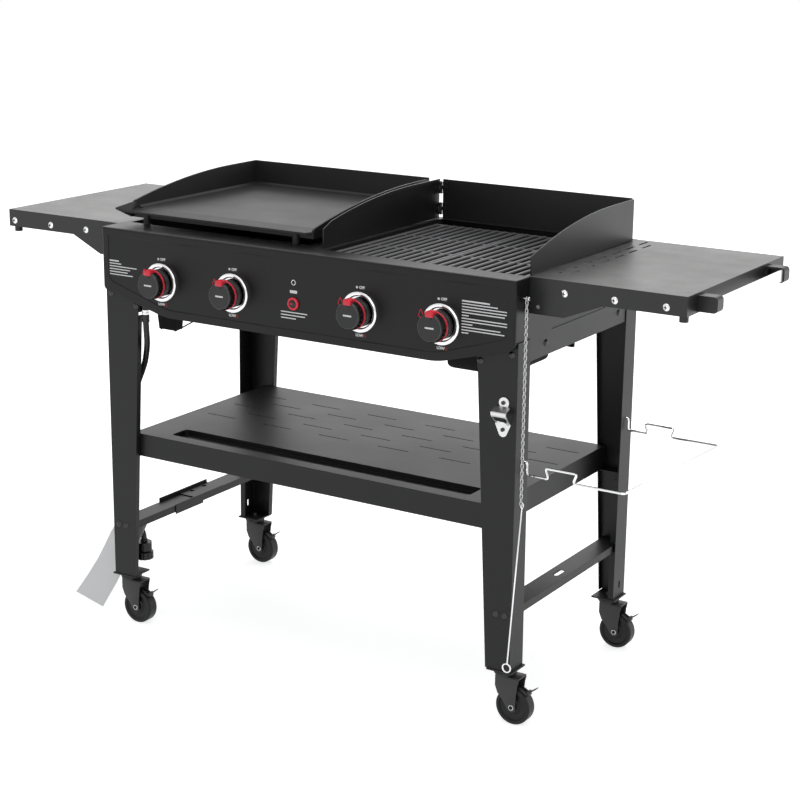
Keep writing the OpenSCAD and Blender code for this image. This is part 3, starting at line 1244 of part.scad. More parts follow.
// Bag holder: a bent wire loop whose ends hook through the right legs
function bag_arm(y, z) = [[leg_out - 8, y, z + 24], [bag_x, y, z + 24], [bag_x, y, z], [bag_x + 43, y, z],
    [bag_x + 36, y, z + 19], [bag_x + 99, y, z + 19], [bag_x + 92, y, z], [bag_x + bag_reach, y, z]];
bag_back = bag_arm(bag_y[1], bag_z[1]);
bag_loop = concat(bag_arm(bag_y[0], bag_z[0]), [for (i = [len(bag_back) - 1:-1:0]) bag_back[i]]);
module trash_bag_holder() color([0.8, 0.8, 0.82]) placed()
    tube(bent(bag_loop, 5, 2), bag_wire / 2, 8, [0, 1, 0.2]);

// Gas hose with its end ferrules, the regulator and its hand nut
module gas_hose() color([0.05, 0.05, 0.05]) placed() tube(smooth(hose_route, 2), hose_d / 2, 10);

module regulator() color([0.55, 0.55, 0.57]) placed() translate(regulator_at) difference() {
    union() {
        pin_z(0, 0, [-8, 0], 7.5);
        pin_z(0, 0, [-24, -6], regulator_r);
        pin_z(0, 0, [-26, -24], regulator_r - 3);
        pin_z(0, 0, [-32.5, -26], 9);
    }
    for (k = [0:5]) rotate([0, 0, 60 * k]) translate([regulator_r, 0, -19]) cube([2, 2, 20], center = true);
}

module regulator_nut() color([0.04, 0.04, 0.04]) placed() translate(regulator_at) difference() {
    translate([0, 0, -42]) linear_extrude(15) difference() {
        circle(19);
        for (k = [0:11]) rotate(30 * k) translate([20, 0]) circle(2.4, $fn = 16);
    }
    pin_z(0, 0, [-37, -26], 9.1);
    pin_z(0, 0, [-43, -33], port_r);
}

// Casters: a swivelling fork on a stem, a wheel on an axle and a brake lever

module caster_side_plate() polygon(concat(
    [[-17, fork_top], [24, fork_top], [lever_at[0] + 3, lever_at[1] + 7]],
    [for (i = [0:4]) lever_at + 7 * [cos(60 - 30 * i), sin(60 - 30 * i)]],
    [for (i = [0:6]) [trail, axle_z] + 9 * [cos(-10 - 28 * i), sin(-10 - 28 * i)]],
    [[-13, fork_top - 22]]));

module caster_yoke() {
    difference() {
        union() {
            pin_z(0, 0, [fork_top - fork_t, fork_top + race_h], race_r - 1);
            block([-17, 24], [-fork_in - fork_t, fork_in + fork_t], [fork_top - fork_t, fork_top]);
            for (y = [-fork_in - fork_t, fork_in]) along_y([y, y + fork_t]) caster_side_plate();
            pin_z(0, 0, [fork_top, leg_bottom + 1], swivel_r);
            pin_z(0, 0, [leg_bottom + seat_gap, leg_bottom + 5], swivel_r + 3);
            pin_y(trail, [-fork_in - fork_t - 2.5, fork_in + fork_t + 2.5], axle_z, axle_r);
            for (y = [-fork_in - fork_t - 3, fork_in + fork_t]) pin_y(trail, [y, y + 3], axle_z, 6.5);
        }
        for (y = [-fork_in - fork_t, fork_in])
            pin_y(lever_at[0], [y - 1, y + fork_t + 1], lever_at[1], lever_pin_r + run_fit);
    }
}

module caster_wheel() difference() {
    rotate([90, 0, 0]) rotate_extrude($fn = 72) polygon(rounded(
        [[axle_r + run_fit, -wheel_w / 2 + 0.4], [13, -wheel_w / 2 + 0.4], [15, -wheel_w / 2 + 3],
         [wheel_r - 9, -wheel_w / 2 + 3], [wheel_r - 7, -wheel_w / 2], [wheel_r, -wheel_w / 2],
         [wheel_r, wheel_w / 2], [wheel_r - 7, wheel_w / 2], [wheel_r - 9, wheel_w / 2 - 3],
         [15, wheel_w / 2 - 3], [13, wheel_w / 2 - 0.4], [axle_r + run_fit, wheel_w / 2 - 0.4]],
        [0, 1, 1, 1, 1, 5, 5, 1, 1, 1, 1, 0], 4));
}

module brake_lever() {
    w = fork_in - 0.5;
    pin_y(0, [-w, w], 0, lever_r);
    pin_y(0, [-fork_in - fork_t, fork_in + fork_t], 0, lever_pin_r);
    along_y([-w, w]) polygon([[-1, 3.6], [4, 2], [22, 0], [27, 4], [26, 7], [20, 5], [6, 6], [-2, 4.1]]);
}

module caster(i, part) placed() translate([caster_at[i][0], caster_at[i][1], 0]) {
    if (part == "yoke") color([0.1, 0.1, 0.1]) caster_yoke();
    if (part == "wheel") color([0.05, 0.05, 0.05]) translate([trail, 0, axle_z]) caster_wheel();
    if (part == "lever") color([0.1, 0.1, 0.1]) translate([lever_at[0], 0, lever_at[1]]) brake_lever();
}

echo(hose_length = path_len(smooth(hose_route, 8)));

control_panel();
firebox();
burner_bulkhead();
knob_bezels();
igniter_housing();
gas_manifold();
valve_bodies();
burners();
heat_plates();
spark_electrodes();
leg_at(-1, false);  // leg_front_left
leg_at(1, false);  // leg_front_right
leg_at(-1, true);  // leg_rear_left
leg_at(1, true);  // leg_rear_right
bottom_shelf();
crossbars();
tank_bracket();
frame_bolts();
bottle_opener();
match_chain();
match_rod();
table_left();
table_right();
table_feet();
towel_bar();
towel_bar_brackets();
grease_tray();
grease_cup();
griddle();
grate_left();
grate_right();
windshield_left();
windshield_rear();
windshield_right();
windshield_hinge_pins();
trash_bag_holder();
gas_hose();
regulator();
regulator_nut();
igniter_button();
caster(0, "yoke");  // caster_yoke_1
caster(1, "yoke");  // caster_yoke_2
caster(2, "yoke");  // caster_yoke_3
caster(3, "yoke");  // caster_yoke_4
caster(0, "wheel");  // caster_wheel_1
caster(1, "wheel");  // caster_wheel_2
caster(2, "wheel");  // caster_wheel_3
caster(3, "wheel");  // caster_wheel_4
caster(0, "lever");  // brake_lever_1
caster(1, "lever");  // brake_lever_2
caster(2, "lever");  // brake_lever_3
caster(3, "lever");  // brake_lever_4
knob(0);  // knob_1
knob(1);  // knob_2
knob(2);  // knob_3
knob(3);  // knob_4
valve_stem(0);  // valve_stem_1
valve_stem(1);  // valve_stem_2
valve_stem(2);  // valve_stem_3
valve_stem(3);  // valve_stem_4
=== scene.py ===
"""Finish, markings, gas line and studio for a gas griddle and grill cart."""
import json
import math

import bpy
from bpy.props import FloatProperty, FloatVectorProperty, PointerProperty
from mathutils import Matrix, Vector


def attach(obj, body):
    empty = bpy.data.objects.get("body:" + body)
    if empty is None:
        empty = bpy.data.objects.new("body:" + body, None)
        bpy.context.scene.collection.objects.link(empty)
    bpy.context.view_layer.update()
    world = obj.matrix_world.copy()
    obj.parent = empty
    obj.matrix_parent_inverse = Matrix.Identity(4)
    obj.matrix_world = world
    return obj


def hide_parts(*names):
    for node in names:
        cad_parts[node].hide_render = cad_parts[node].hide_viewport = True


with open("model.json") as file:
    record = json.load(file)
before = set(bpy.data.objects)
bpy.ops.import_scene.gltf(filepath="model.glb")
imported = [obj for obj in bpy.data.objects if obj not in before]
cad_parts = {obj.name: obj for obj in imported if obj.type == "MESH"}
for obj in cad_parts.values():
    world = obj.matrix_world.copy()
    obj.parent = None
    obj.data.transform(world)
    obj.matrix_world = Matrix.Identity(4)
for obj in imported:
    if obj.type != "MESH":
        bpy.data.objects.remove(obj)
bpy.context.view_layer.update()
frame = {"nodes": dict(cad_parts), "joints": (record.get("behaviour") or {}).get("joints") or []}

bl_info = {
    "name": "Griddle and grill cart",
    "version": (1, 0, 0),
    "blender": (4, 5, 0),
    "location": "View3D > Sidebar > Grill cart",
    "description": "Dresses the cart's solids with finishes, markings and the gas line",
    "category": "Object",
}

ROOT = "cart_frame"

# Camera, found from the straight edges in the photograph: metres and degrees
CAMERA_PLACE = (1.9088, -2.9359, 1.4634)
CAMERA_TURN, CAMERA_DOWN, CAMERA_ROLL = 32.02, 15.31, 0.619

# Millimetres of the part's source: x from the middle of the cook box, y from the panel's face,
# and heights from the rim where a name says UP
CENTRE_X = 18.5
CENTRE_Y = 226.5
RIM = 835.0
BOX_HALF, BOX_FRONT, BOX_BACK, BOX_LOW_UP, WALL = 465, 50, 490, -235, 3
LEG_OUTSIDE = 470
BURNER_X = (-317.0, -144.5, 144.5, 317.0)
BURNER_UP = -94.5
FIELD_Y = 1.0
# Marks around each knob, from its middle
OFF_UP, LOW_UP, HIGH_FLAME = 45, -44, (-43, 11)
KNOB_FACE_Y, KNOB_BAND_Y = -41.0, -25.4
IGNITER_X, IGNITER_Z = -3, 737
TABLE_BOLT_X = (532, 627, 722, -551, -646, -745)
TABLE_BOLT_UP, TABLE_BOLT_FACE_Y = -22.5, 46.5
HOSE_ROUTE = (
    (-376, 21, 650), (-376, 22, 632), (-383, 31, 600), (-405, 48, 556), (-438, 64, 505),
    (-466, 76, 448), (-478, 80, 388), (-480, 80, 320), (-480, 80, 258), (-475, 80, 216),
    (-457, 79, 190), (-447, 78, 177), (-445, 78, 165))
# Long edges of the hang tag, from its top behind the leg down to its free end, z from the floor
TAG_RIGHT = ((-424, 64, 204), (-441, 64, 173), (-457, 63, 148), (-475, 57, 112), (-500, 46, 60),
             (-526, 34, 9))
TAG_LEFT = ((-500, 64, 204), (-523, 64, 170), (-539, 63, 140), (-556, 56, 104), (-575, 42, 66),
            (-594, 27, 31))
TAG_THICK = 0.0005

# Caster, in millimetres: x from the swivel's axis, y from its middle, z from the floor
FORK_SIDE = ((-13, 93.7), (-13, 72), (-7.5, 58), (5, 44), (13.5, 31), (17, 27.5), (22, 26),
             (27, 27.5), (30.5, 32), (30.5, 46.6), (31.5, 60), (33.5, 79), (36, 90), (34, 93.7))
BRAKE_ARM = ((32, 70), (33, 74), (49.5, 65), (49, 61))
BRAKE_TAB = ((52, 66), (53, 70), (66, 79), (66.8, 77.6), (54.5, 68))
AXLE_X, AXLE_Z, AXLE_HALF = 22, 35, 17.2
FORK_HALF = 15.2

# Shades
# Painted shade: the near black laid on the inside of the cook box
INSIDE_SHADE = (0.005, 0.005, 0.005)
# Pale tone on upward faces: part dust, part painted sheen
DUST_AND_SHEEN = (0.35, 0.34, 0.33)
COAT_ROUGH = 0.1

# Degrees below which faces are shaded as one
SMOOTH_ANGLE = 40


def at(x, y, up):
    """A point given in the source's millimetres, up from the rim, as metres in the frame."""
    return Vector(((x - CENTRE_X) / 1000, (y - CENTRE_Y) / 1000, (RIM + up) / 1000))


def source_place(x, y, z):
    """Source millimetres, z from the floor, as millimetres in the frame."""
    return (x - CENTRE_X, y - CENTRE_Y, z)


def joint_foot(name):
    """The place on the floor below a joint of the frame, in metres."""
    spot = next(joint["pos_m"] for joint in frame["joints"] if joint["name"] == name)
    return Vector((spot[0], spot[1], 0))


def body_named(node):
    return node + "_body"


# Working tools

def clear_picks():
    """Leaves edit mode and deselects everything."""
    if bpy.context.object and bpy.context.object.mode != "OBJECT":
        bpy.ops.object.mode_set(mode="OBJECT")
    bpy.ops.object.select_all(action="DESELECT")


def pick_only(piece):
    clear_picks()
    piece.select_set(True)
    bpy.context.view_layer.objects.active = piece


def settle(piece):
    """Puts the piece's place and turn into its mesh."""
    pick_only(piece)
    bpy.ops.object.transform_apply(location=True, rotation=True, scale=True)
    return piece


def finish_mods(piece):
    """Applies the piece's modifiers in order."""
    pick_only(piece)
    for mod in list(piece.modifiers):
        bpy.ops.object.modifier_apply(modifier=mod.name)
    return piece


def named(name):
    piece = bpy.context.object
    piece.name = name
    piece.data.name = name
    return piece


def soften(piece, width, segments=2, angle=35):
    """Bevels the sharp edges and shades the piece smooth by angle."""
    mod = piece.modifiers.new("soft_edges", "BEVEL")
    mod.width = width
    mod.segments = segments
    mod.limit_method = "ANGLE"
    mod.angle_limit = math.radians(angle)
    finish_mods(piece)
    bpy.ops.object.shade_smooth_by_angle(angle=math.radians(SMOOTH_ANGLE))
    return piece


def thicken(piece, thickness):
    """Gives a flat piece its thickness, half to each side."""
    mod = piece.modifiers.new("gauge", "SOLIDIFY")
    mod.thickness = thickness
    mod.offset = 0
    return finish_mods(piece)


def face_outward(piece):
    """Turns the normals of a closed piece outwards."""
    pick_only(piece)
    bpy.ops.object.mode_set(mode="EDIT")
    bpy.ops.mesh.select_all(action="SELECT")
    bpy.ops.mesh.normals_make_consistent(inside=False)
    bpy.ops.object.mode_set(mode="OBJECT")
    return piece


def slab(name, low, high, edge=0.0004):
    """A block between two corners with softened edges."""
    clear_picks()
    low, high = Vector(low), Vector(high)
    bpy.ops.mesh.primitive_cube_add(size=1, location=(low + high) / 2)
    piece = named(name)
    piece.scale = high - low
    settle(piece)
    return soften(piece, edge)


def merged(name, parts):
    """Joins several pieces into one."""
    clear_picks()
    for part in parts:
        part.select_set(True)
    bpy.context.view_layer.objects.active = parts[0]
    bpy.ops.object.join()
    return named(name)


def plate(name, outline, y, thick, edge=0.0006):
    """A flat plate: a circle's corners are drawn out to an outline in x and z."""
    clear_picks()
    bpy.ops.mesh.primitive_circle_add(vertices=len(outline), radius=0.01, fill_type="NGON")
    piece = named(name)
    for v, (x, up) in zip(piece.data.vertices, outline):
        v.co = (x / 1000, y / 1000, up / 1000)
    return soften(face_outward(thicken(piece, thick / 1000)), edge, 2, 25)


def rod(name, a, b, radius, edge=0.0004, sides=24):
    """A round bar between two points in millimetres."""
    clear_picks()
    a, b = Vector(a) / 1000, Vector(b) / 1000
    bpy.ops.mesh.primitive_cylinder_add(vertices=sides, radius=radius / 1000, depth=(b - a).length,
                                        location=(a + b) / 2,
                                        rotation=(b - a).to_track_quat("Z", "Y").to_euler())
    return soften(settle(named(name)), edge)


def eye(name, centre, radius, wire, turn):
    """A ring of wire about a point in millimetres, turned from lying flat."""
    clear_picks()
    bpy.ops.mesh.primitive_torus_add(
        major_radius=radius / 1000, minor_radius=wire / 1000, major_segments=40, minor_segments=10,
        location=Vector(centre) / 1000, rotation=[math.radians(t) for t in turn])
    piece = settle(named(name))
    bpy.ops.object.shade_smooth()
    return piece


def moved_copy(piece, name, shift):
    """A copy with a mesh of its own, moved and settled."""
    pick_only(piece)
    bpy.ops.object.duplicate(linked=False)
    copy = named(name)
    copy.location = shift
    return settle(copy)


def dress(piece, finish, body=ROOT):
    """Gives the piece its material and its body."""
    piece.data.materials.clear()
    piece.data.materials.append(finish)
    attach(piece, body)
    return piece


# Finishes

def socket(group, name, kind, side, value=None):
    made = group.interface.new_socket(name=name, in_out=side, socket_type=kind)
    if value is not None:
        made.default_value = value
    return made


def link(tree, a, out_name, b, in_name):
    tree.links.new(a.outputs[out_name], b.inputs[in_name])


def grain_group():
    """Fine sprayed grain: a height for bumps and a slow mottle over the surface."""
    if "sprayed_grain" in bpy.data.node_groups:
        return bpy.data.node_groups["sprayed_grain"]
    tree = bpy.data.node_groups.new("sprayed_grain", "ShaderNodeTree")
    socket(tree, "Grain", "NodeSocketFloat", "INPUT", 900.0)
    socket(tree, "Cloud", "NodeSocketFloat", "INPUT", 6.0)
    socket(tree, "Height", "NodeSocketFloat", "OUTPUT")
    socket(tree, "Mottle", "NodeSocketFloat", "OUTPUT")
    put = tree.nodes.new
    ends = put("NodeGroupInput"), put("NodeGroupOutput")
    coords = put("ShaderNodeTexCoord")
    fine = put("ShaderNodeTexNoise")
    fine.inputs["Detail"].default_value = 2.0
    wide = put("ShaderNodeTexNoise")
    wide.inputs["Detail"].default_value = 4.0
    for tex in (fine, wide):
        link(tree, coords, "Object", tex, "Vector")
    link(tree, ends[0], "Grain", fine, "Scale")
    link(tree, ends[0], "Cloud", wide, "Scale")
    tree.links.new(fine.outputs["Fac"], ends[1].inputs["Height"])
    tree.links.new(wide.outputs["Fac"], ends[1].inputs["Mottle"])
    return tree


def brush_group():
    """Brushed lines drawn along one axis, as a height and a shade."""
    if "brushed_lines" in bpy.data.node_groups:
        return bpy.data.node_groups["brushed_lines"]
    tree = bpy.data.node_groups.new("brushed_lines", "ShaderNodeTree")
    socket(tree, "Stretch", "NodeSocketVector", "INPUT", (1500.0, 12.0, 1500.0))
    socket(tree, "Height", "NodeSocketFloat", "OUTPUT")
    put = tree.nodes.new
    ends = put("NodeGroupInput"), put("NodeGroupOutput")
    coords = put("ShaderNodeTexCoord")
    scaled = put("ShaderNodeVectorMath")
    scaled.operation = "MULTIPLY"
    lines = put("ShaderNodeTexNoise")
    lines.inputs["Scale"].default_value = 1.0
    lines.inputs["Detail"].default_value = 3.0
    link(tree, coords, "Object", scaled, 0)
    tree.links.new(ends[0].outputs["Stretch"], scaled.inputs[1])
    link(tree, scaled, "Vector", lines, "Vector")
    tree.links.new(lines.outputs["Fac"], ends[1].inputs["Height"])
    return tree


def dust_and_sheen_group():
    """A mask for faces that look up: light dust, and painted sheen that lightens the tops."""
    if "dust_and_top_sheen" in bpy.data.node_groups:
        return bpy.data.node_groups["dust_and_top_sheen"]
    tree = bpy.data.node_groups.new("dust_and_top_sheen", "ShaderNodeTree")
    socket(tree, "Amount", "NodeSocketFloat", "INPUT", 0.1)
    socket(tree, "Mask", "NodeSocketFloat", "OUTPUT")
    put = tree.nodes.new
    ends = put("NodeGroupInput"), put("NodeGroupOutput")
    geometry = put("ShaderNodeNewGeometry")
    parts = put("ShaderNodeSeparateXYZ")
    upward = put("ShaderNodeMapRange")
    upward.inputs["From Min"].default_value = 0.5
    coords = put("ShaderNodeTexCoord")
    patches = put("ShaderNodeTexNoise")
    patches.inputs["Scale"].default_value = 18.0
    patches.inputs["Detail"].default_value = 6.0
    times = put("ShaderNodeMath")
    times.operation = "MULTIPLY"
    scaled = put("ShaderNodeMath")
    scaled.operation = "MULTIPLY"
    link(tree, geometry, "Normal", parts, "Vector")
    link(tree, parts, "Z", upward, "Value")
    link(tree, coords, "Object", patches, "Vector")
    tree.links.new(upward.outputs["Result"], times.inputs[0])
    tree.links.new(patches.outputs["Fac"], times.inputs[1])
    tree.links.new(times.outputs["Value"], scaled.inputs[0])
    tree.links.new(ends[0].outputs["Amount"], scaled.inputs[1])
    tree.links.new(scaled.outputs["Value"], ends[1].inputs["Mask"])
    return tree


def box_group():
    """A mask that is one inside a box between two corners of the object's space."""
    if "inside_box" in bpy.data.node_groups:
        return bpy.data.node_groups["inside_box"]
    tree = bpy.data.node_groups.new("inside_box", "ShaderNodeTree")
    socket(tree, "Low", "NodeSocketVector", "INPUT")
    socket(tree, "High", "NodeSocketVector", "INPUT")
    socket(tree, "Mask", "NodeSocketFloat", "OUTPUT")
    put = tree.nodes.new
    ends = put("NodeGroupInput"), put("NodeGroupOutput")
    coords = put("ShaderNodeTexCoord")
    above, below, gap = (put("ShaderNodeVectorMath") for _ in range(3))
    above.operation, below.operation, gap.operation = "MAXIMUM", "MINIMUM", "DISTANCE"
    inside = put("ShaderNodeMath")
    inside.operation = "LESS_THAN"
    inside.inputs[1].default_value = 0.00001
    link(tree, coords, "Object", above, 0)
    tree.links.new(ends[0].outputs["Low"], above.inputs[1])
    link(tree, above, "Vector", below, 0)
    tree.links.new(ends[0].outputs["High"], below.inputs[1])
    link(tree, coords, "Object", gap, 0)
    tree.links.new(below.outputs["Vector"], gap.inputs[1])
    link(tree, gap, "Value", inside, 0)
    tree.links.new(inside.outputs["Value"], ends[1].inputs["Mask"])
    return tree


def placed_group(tree, group, **values):
    node = tree.nodes.new("ShaderNodeGroup")
    node.node_tree = group
    for key, value in values.items():
        node.inputs[key].default_value = value
    return node


def shades(tree, factor, dark, light):
    """A colour between two shades, by a mask."""
    mix = tree.nodes.new("ShaderNodeMix")
    mix.data_type = "RGBA"
    mix.inputs["A"].default_value = (*dark, 1)
    mix.inputs["B"].default_value = (*light, 1)
    tree.links.new(factor, mix.inputs["Factor"])
    return mix.outputs["Result"]


def scaled_shade(colour, k):
    return tuple(min(1.0, c * k) for c in colour)


def finish(name, colour, rough=0.4, spread=0.06, specular=0.5, metal=0.0, grain=900.0, cloud=6.0,
           depth=0.0001, vary=0.12, dust_and_sheen=0.0, coat=0.0, brush=None, edge=0.001, inner=None):
    """A painted, plastic, rubber or metal finish with grain, mottle and soft edges.

    inner is a second tone inside a box: its low and high corner, colour, roughness and metal.
    """
    if name in bpy.data.materials:
        return bpy.data.materials[name]
    made = bpy.data.materials.new(name)
    made.use_nodes = True
    tree = made.node_tree
    shader = tree.nodes["Principled BSDF"]
    grains = placed_group(tree, grain_group(), Grain=grain, Cloud=cloud)
    base = shades(tree, grains.outputs["Mottle"], scaled_shade(colour, 1 - vary),
                  scaled_shade(colour, 1 + vary))
    # Pale tone on upward faces: part dust, part painted sheen on the tops
    if dust_and_sheen:
        dust_sheen = placed_group(tree, dust_and_sheen_group(), Amount=dust_and_sheen)
        mix = tree.nodes.new("ShaderNodeMix")
        mix.data_type = "RGBA"
        mix.inputs["B"].default_value = (*DUST_AND_SHEEN, 1)
        tree.links.new(dust_sheen.outputs["Mask"], mix.inputs["Factor"])
        tree.links.new(base, mix.inputs["A"])
        base = mix.outputs["Result"]
    gloss = tree.nodes.new("ShaderNodeMapRange")
    gloss.inputs["To Min"].default_value = max(0.02, rough - spread)
    gloss.inputs["To Max"].default_value = min(1.0, rough + spread)
    tree.links.new(grains.outputs["Mottle"], gloss.inputs["Value"])
    sheen = gloss.outputs["Result"]
    shader.inputs["Metallic"].default_value = metal
    if inner:
        low, high, tone, tone_rough, tone_metal = inner
        mask = placed_group(tree, box_group(), Low=low, High=high).outputs["Mask"]
        mix = tree.nodes.new("ShaderNodeMix")
        mix.data_type = "RGBA"
        mix.inputs["B"].default_value = (*tone, 1)
        tree.links.new(mask, mix.inputs["Factor"])
        tree.links.new(base, mix.inputs["A"])
        base = mix.outputs["Result"]
        rougher = tree.nodes.new("ShaderNodeMix")
        rougher.inputs["B"].default_value = tone_rough
        tree.links.new(mask, rougher.inputs["Factor"])
        tree.links.new(sheen, rougher.inputs["A"])
        sheen = rougher.outputs["Result"]
        metals = tree.nodes.new("ShaderNodeMapRange")
        metals.inputs["To Min"].default_value = metal
        metals.inputs["To Max"].default_value = tone_metal
        tree.links.new(mask, metals.inputs["Value"])
        tree.links.new(metals.outputs["Result"], shader.inputs["Metallic"])
    tree.links.new(base, shader.inputs["Base Color"])
    tree.links.new(sheen, shader.inputs["Roughness"])
    shader.inputs["Specular IOR Level"].default_value = specular
    shader.inputs["Coat Weight"].default_value = coat
    shader.inputs["Coat Roughness"].default_value = COAT_ROUGH
    bump = tree.nodes.new("ShaderNodeBump")
    bump.inputs["Distance"].default_value = depth
    if brush:
        lines = placed_group(tree, brush_group(), Stretch=brush)
        tree.links.new(lines.outputs["Height"], bump.inputs["Height"])
    else:
        tree.links.new(grains.outputs["Height"], bump.inputs["Height"])
    if edge:
        rounded = tree.nodes.new("ShaderNodeBevel")
        rounded.samples = 4
        rounded.inputs["Radius"].default_value = edge
        link(tree, rounded, "Normal", bump, "Normal")
    tree.links.new(bump.outputs["Normal"], shader.inputs["Normal"])
    return made


def panel_enamel():
    return finish("panel_enamel", tuple(bpy.context.scene.cart_paint.panel), rough=0.4, specular=0.26,
                  grain=1400, depth=0.00003, vary=0.06, edge=0.0025)


def box_enamel():
    """Enamel of the cook box, with painted shade on its inside."""
    inside_shade = (at(-BOX_HALF + WALL, BOX_FRONT + WALL, BOX_LOW_UP),
            at(BOX_HALF - WALL, BOX_BACK - WALL, -4),
            INSIDE_SHADE, 0.85, 0.0)
    return finish("box_enamel", (0.008, 0.008, 0.0085), rough=0.42, specular=0.32, grain=1400,
                  depth=0.00003, vary=0.1, inner=inside_shade)


def frame_powder():
    return finish("frame_powder", tuple(bpy.context.scene.cart_paint.frame), rough=0.44, specular=0.3,
                  grain=1100, depth=0.00006, vary=0.08, dust_and_sheen=0.05)


def table_powder():
    # The pale tone on the upward faces here is mostly painted sheen that lightens the table tops
    return finish("table_powder", tuple(bpy.context.scene.cart_paint.table), rough=0.42, specular=0.42,
                  grain=1300, depth=0.00005, vary=0.06, dust_and_sheen=0.4)


def plate_seasoning():
    return finish("plate_seasoning", (0.013, 0.013, 0.0135), rough=0.5, spread=0.1, specular=0.36,
                  grain=700, depth=0.00008, vary=0.2, cloud=9)


def grate_enamel():
    return finish("grate_enamel", (0.07, 0.07, 0.072), rough=0.42, specular=0.55, grain=500,
                  depth=0.00015, vary=0.15)


def shield_paint():
    return finish("shield_paint", (0.01, 0.01, 0.011), rough=0.38, specular=0.38, grain=1400,
                  depth=0.00003, vary=0.08)


def shade_dark_steel():
    # Painted shade: burners and heat plates near black, for the shade under the grates
    return finish("shade_dark_steel", (0.006, 0.006, 0.006), rough=0.85, specular=0.15, grain=800,
                  depth=0.00006, vary=0.2)


def black_plastic():
    return finish("black_plastic", (0.012, 0.012, 0.012), rough=0.4, specular=0.4, grain=1600,
                  depth=0.00004, vary=0.08)


def knob_plastic():
    return finish("knob_plastic", (0.007, 0.007, 0.0075), rough=0.3, specular=0.4, grain=1800,
                  depth=0.00002, vary=0.05)


def rim_highlight_plastic():
    # Painted highlight: a light grey for the thin ring on the edge of each knob's face
    return finish("rim_highlight_plastic", (0.14, 0.14, 0.142), rough=0.25, specular=0.6, grain=1800,
                  depth=0.00002, vary=0.05, edge=0)


def caster_black():
    return finish("caster_black", (0.007, 0.007, 0.007), rough=0.35, specular=0.4, grain=1200,
                  depth=0.00004, vary=0.1)


def hard_tyre():
    return finish("hard_tyre", (0.007, 0.007, 0.007), rough=0.45, specular=0.3, grain=900,
                  depth=0.00006, vary=0.12, dust_and_sheen=0.02)


def hose_rubber():
    return finish("hose_rubber", (0.01, 0.01, 0.01), rough=0.42, specular=0.4, grain=1100,
                  depth=0.00005, vary=0.1, edge=0)


def bright_chrome():
    return finish("bright_chrome", (0.78, 0.78, 0.79), rough=0.12, spread=0.04, metal=1.0, grain=300,
                  depth=0.00001, vary=0.03)


def link_chrome():
    return finish("link_chrome", (0.45, 0.45, 0.46), rough=0.22, spread=0.04, metal=1.0, grain=300,
                  depth=0.00001, vary=0.05)


def bolt_steel():
    """Bright heads outside the legs and dark ones behind them."""
    low, high = at(-LEG_OUTSIDE, 0, 0), at(LEG_OUTSIDE, 0, 0)
    hidden = ((low.x, -1.0, -1.0), (high.x, 1.0, 2.0), (0.05, 0.05, 0.05), 0.35, 1.0)
    return finish("bolt_steel", (0.75, 0.75, 0.76), rough=0.16, spread=0.04, metal=1.0, grain=300,
                  depth=0.00001, vary=0.03, inner=hidden)


def manifold_steel():
    """Dark pipe with the bright crimp of the hose below its inlet."""
    crimp = ((-0.41, -0.23, 0.666), (-0.38, -0.18, 0.675), (0.7, 0.7, 0.7), 0.2, 1.0)
    return finish("manifold_steel", (0.03, 0.03, 0.031), rough=0.4, metal=0.6, grain=800, depth=0.00004,
                  vary=0.12, inner=crimp)


def satin_steel():
    return finish("satin_steel", (0.62, 0.62, 0.62), rough=0.32, spread=0.05, metal=1.0, depth=0.00002,
                  vary=0.05, brush=(900.0, 10.0, 900.0))


def bar_steel():
    return finish("bar_steel", (0.24, 0.24, 0.245), rough=0.34, spread=0.05, metal=1.0, depth=0.00002,
                  vary=0.05, brush=(900.0, 10.0, 900.0))


def plain_steel():
    return finish("plain_steel", (0.4, 0.4, 0.41), rough=0.4, spread=0.08, metal=1.0, grain=800,
                  depth=0.00004, vary=0.12)


def cast_brass():
    return finish("cast_brass", (0.6, 0.42, 0.18), rough=0.35, metal=1.0, grain=900, depth=0.00005,
                  vary=0.12)


def glazed_ceramic():
    return finish("glazed_ceramic", (0.8, 0.8, 0.76), rough=0.2, coat=0.5, grain=500, depth=0.00002,
                  vary=0.03)


def signal_red():
    return finish("signal_red", tuple(bpy.context.scene.cart_paint.red), rough=0.3, specular=0.5,
                  grain=1500, depth=0.00002, vary=0.05)


def print_white():
    return finish("print_white", (0.98, 0.98, 0.98), rough=0.6, specular=0.3, grain=2200, depth=0.00001,
                  vary=0.03, edge=0)


def print_red():
    return finish("print_red", tuple(bpy.context.scene.cart_paint.red), rough=0.6, specular=0.3,
                  grain=2200, depth=0.00001, vary=0.04, edge=0)


def hollow_shade_black():
    # Painted shade: near black for the hollows of the bolt recesses and the axle bores
    return finish("hollow_shade_black", (0.01, 0.01, 0.01), rough=0.7, specular=0.2, grain=2000,
                  depth=0.00001, vary=0.05, edge=0)


def tag_card():
    return finish("tag_card", (1.0, 1.0, 0.99), rough=0.35, specular=0.6, grain=1600, depth=0.00002,
                  vary=0.03, cloud=30, edge=0)


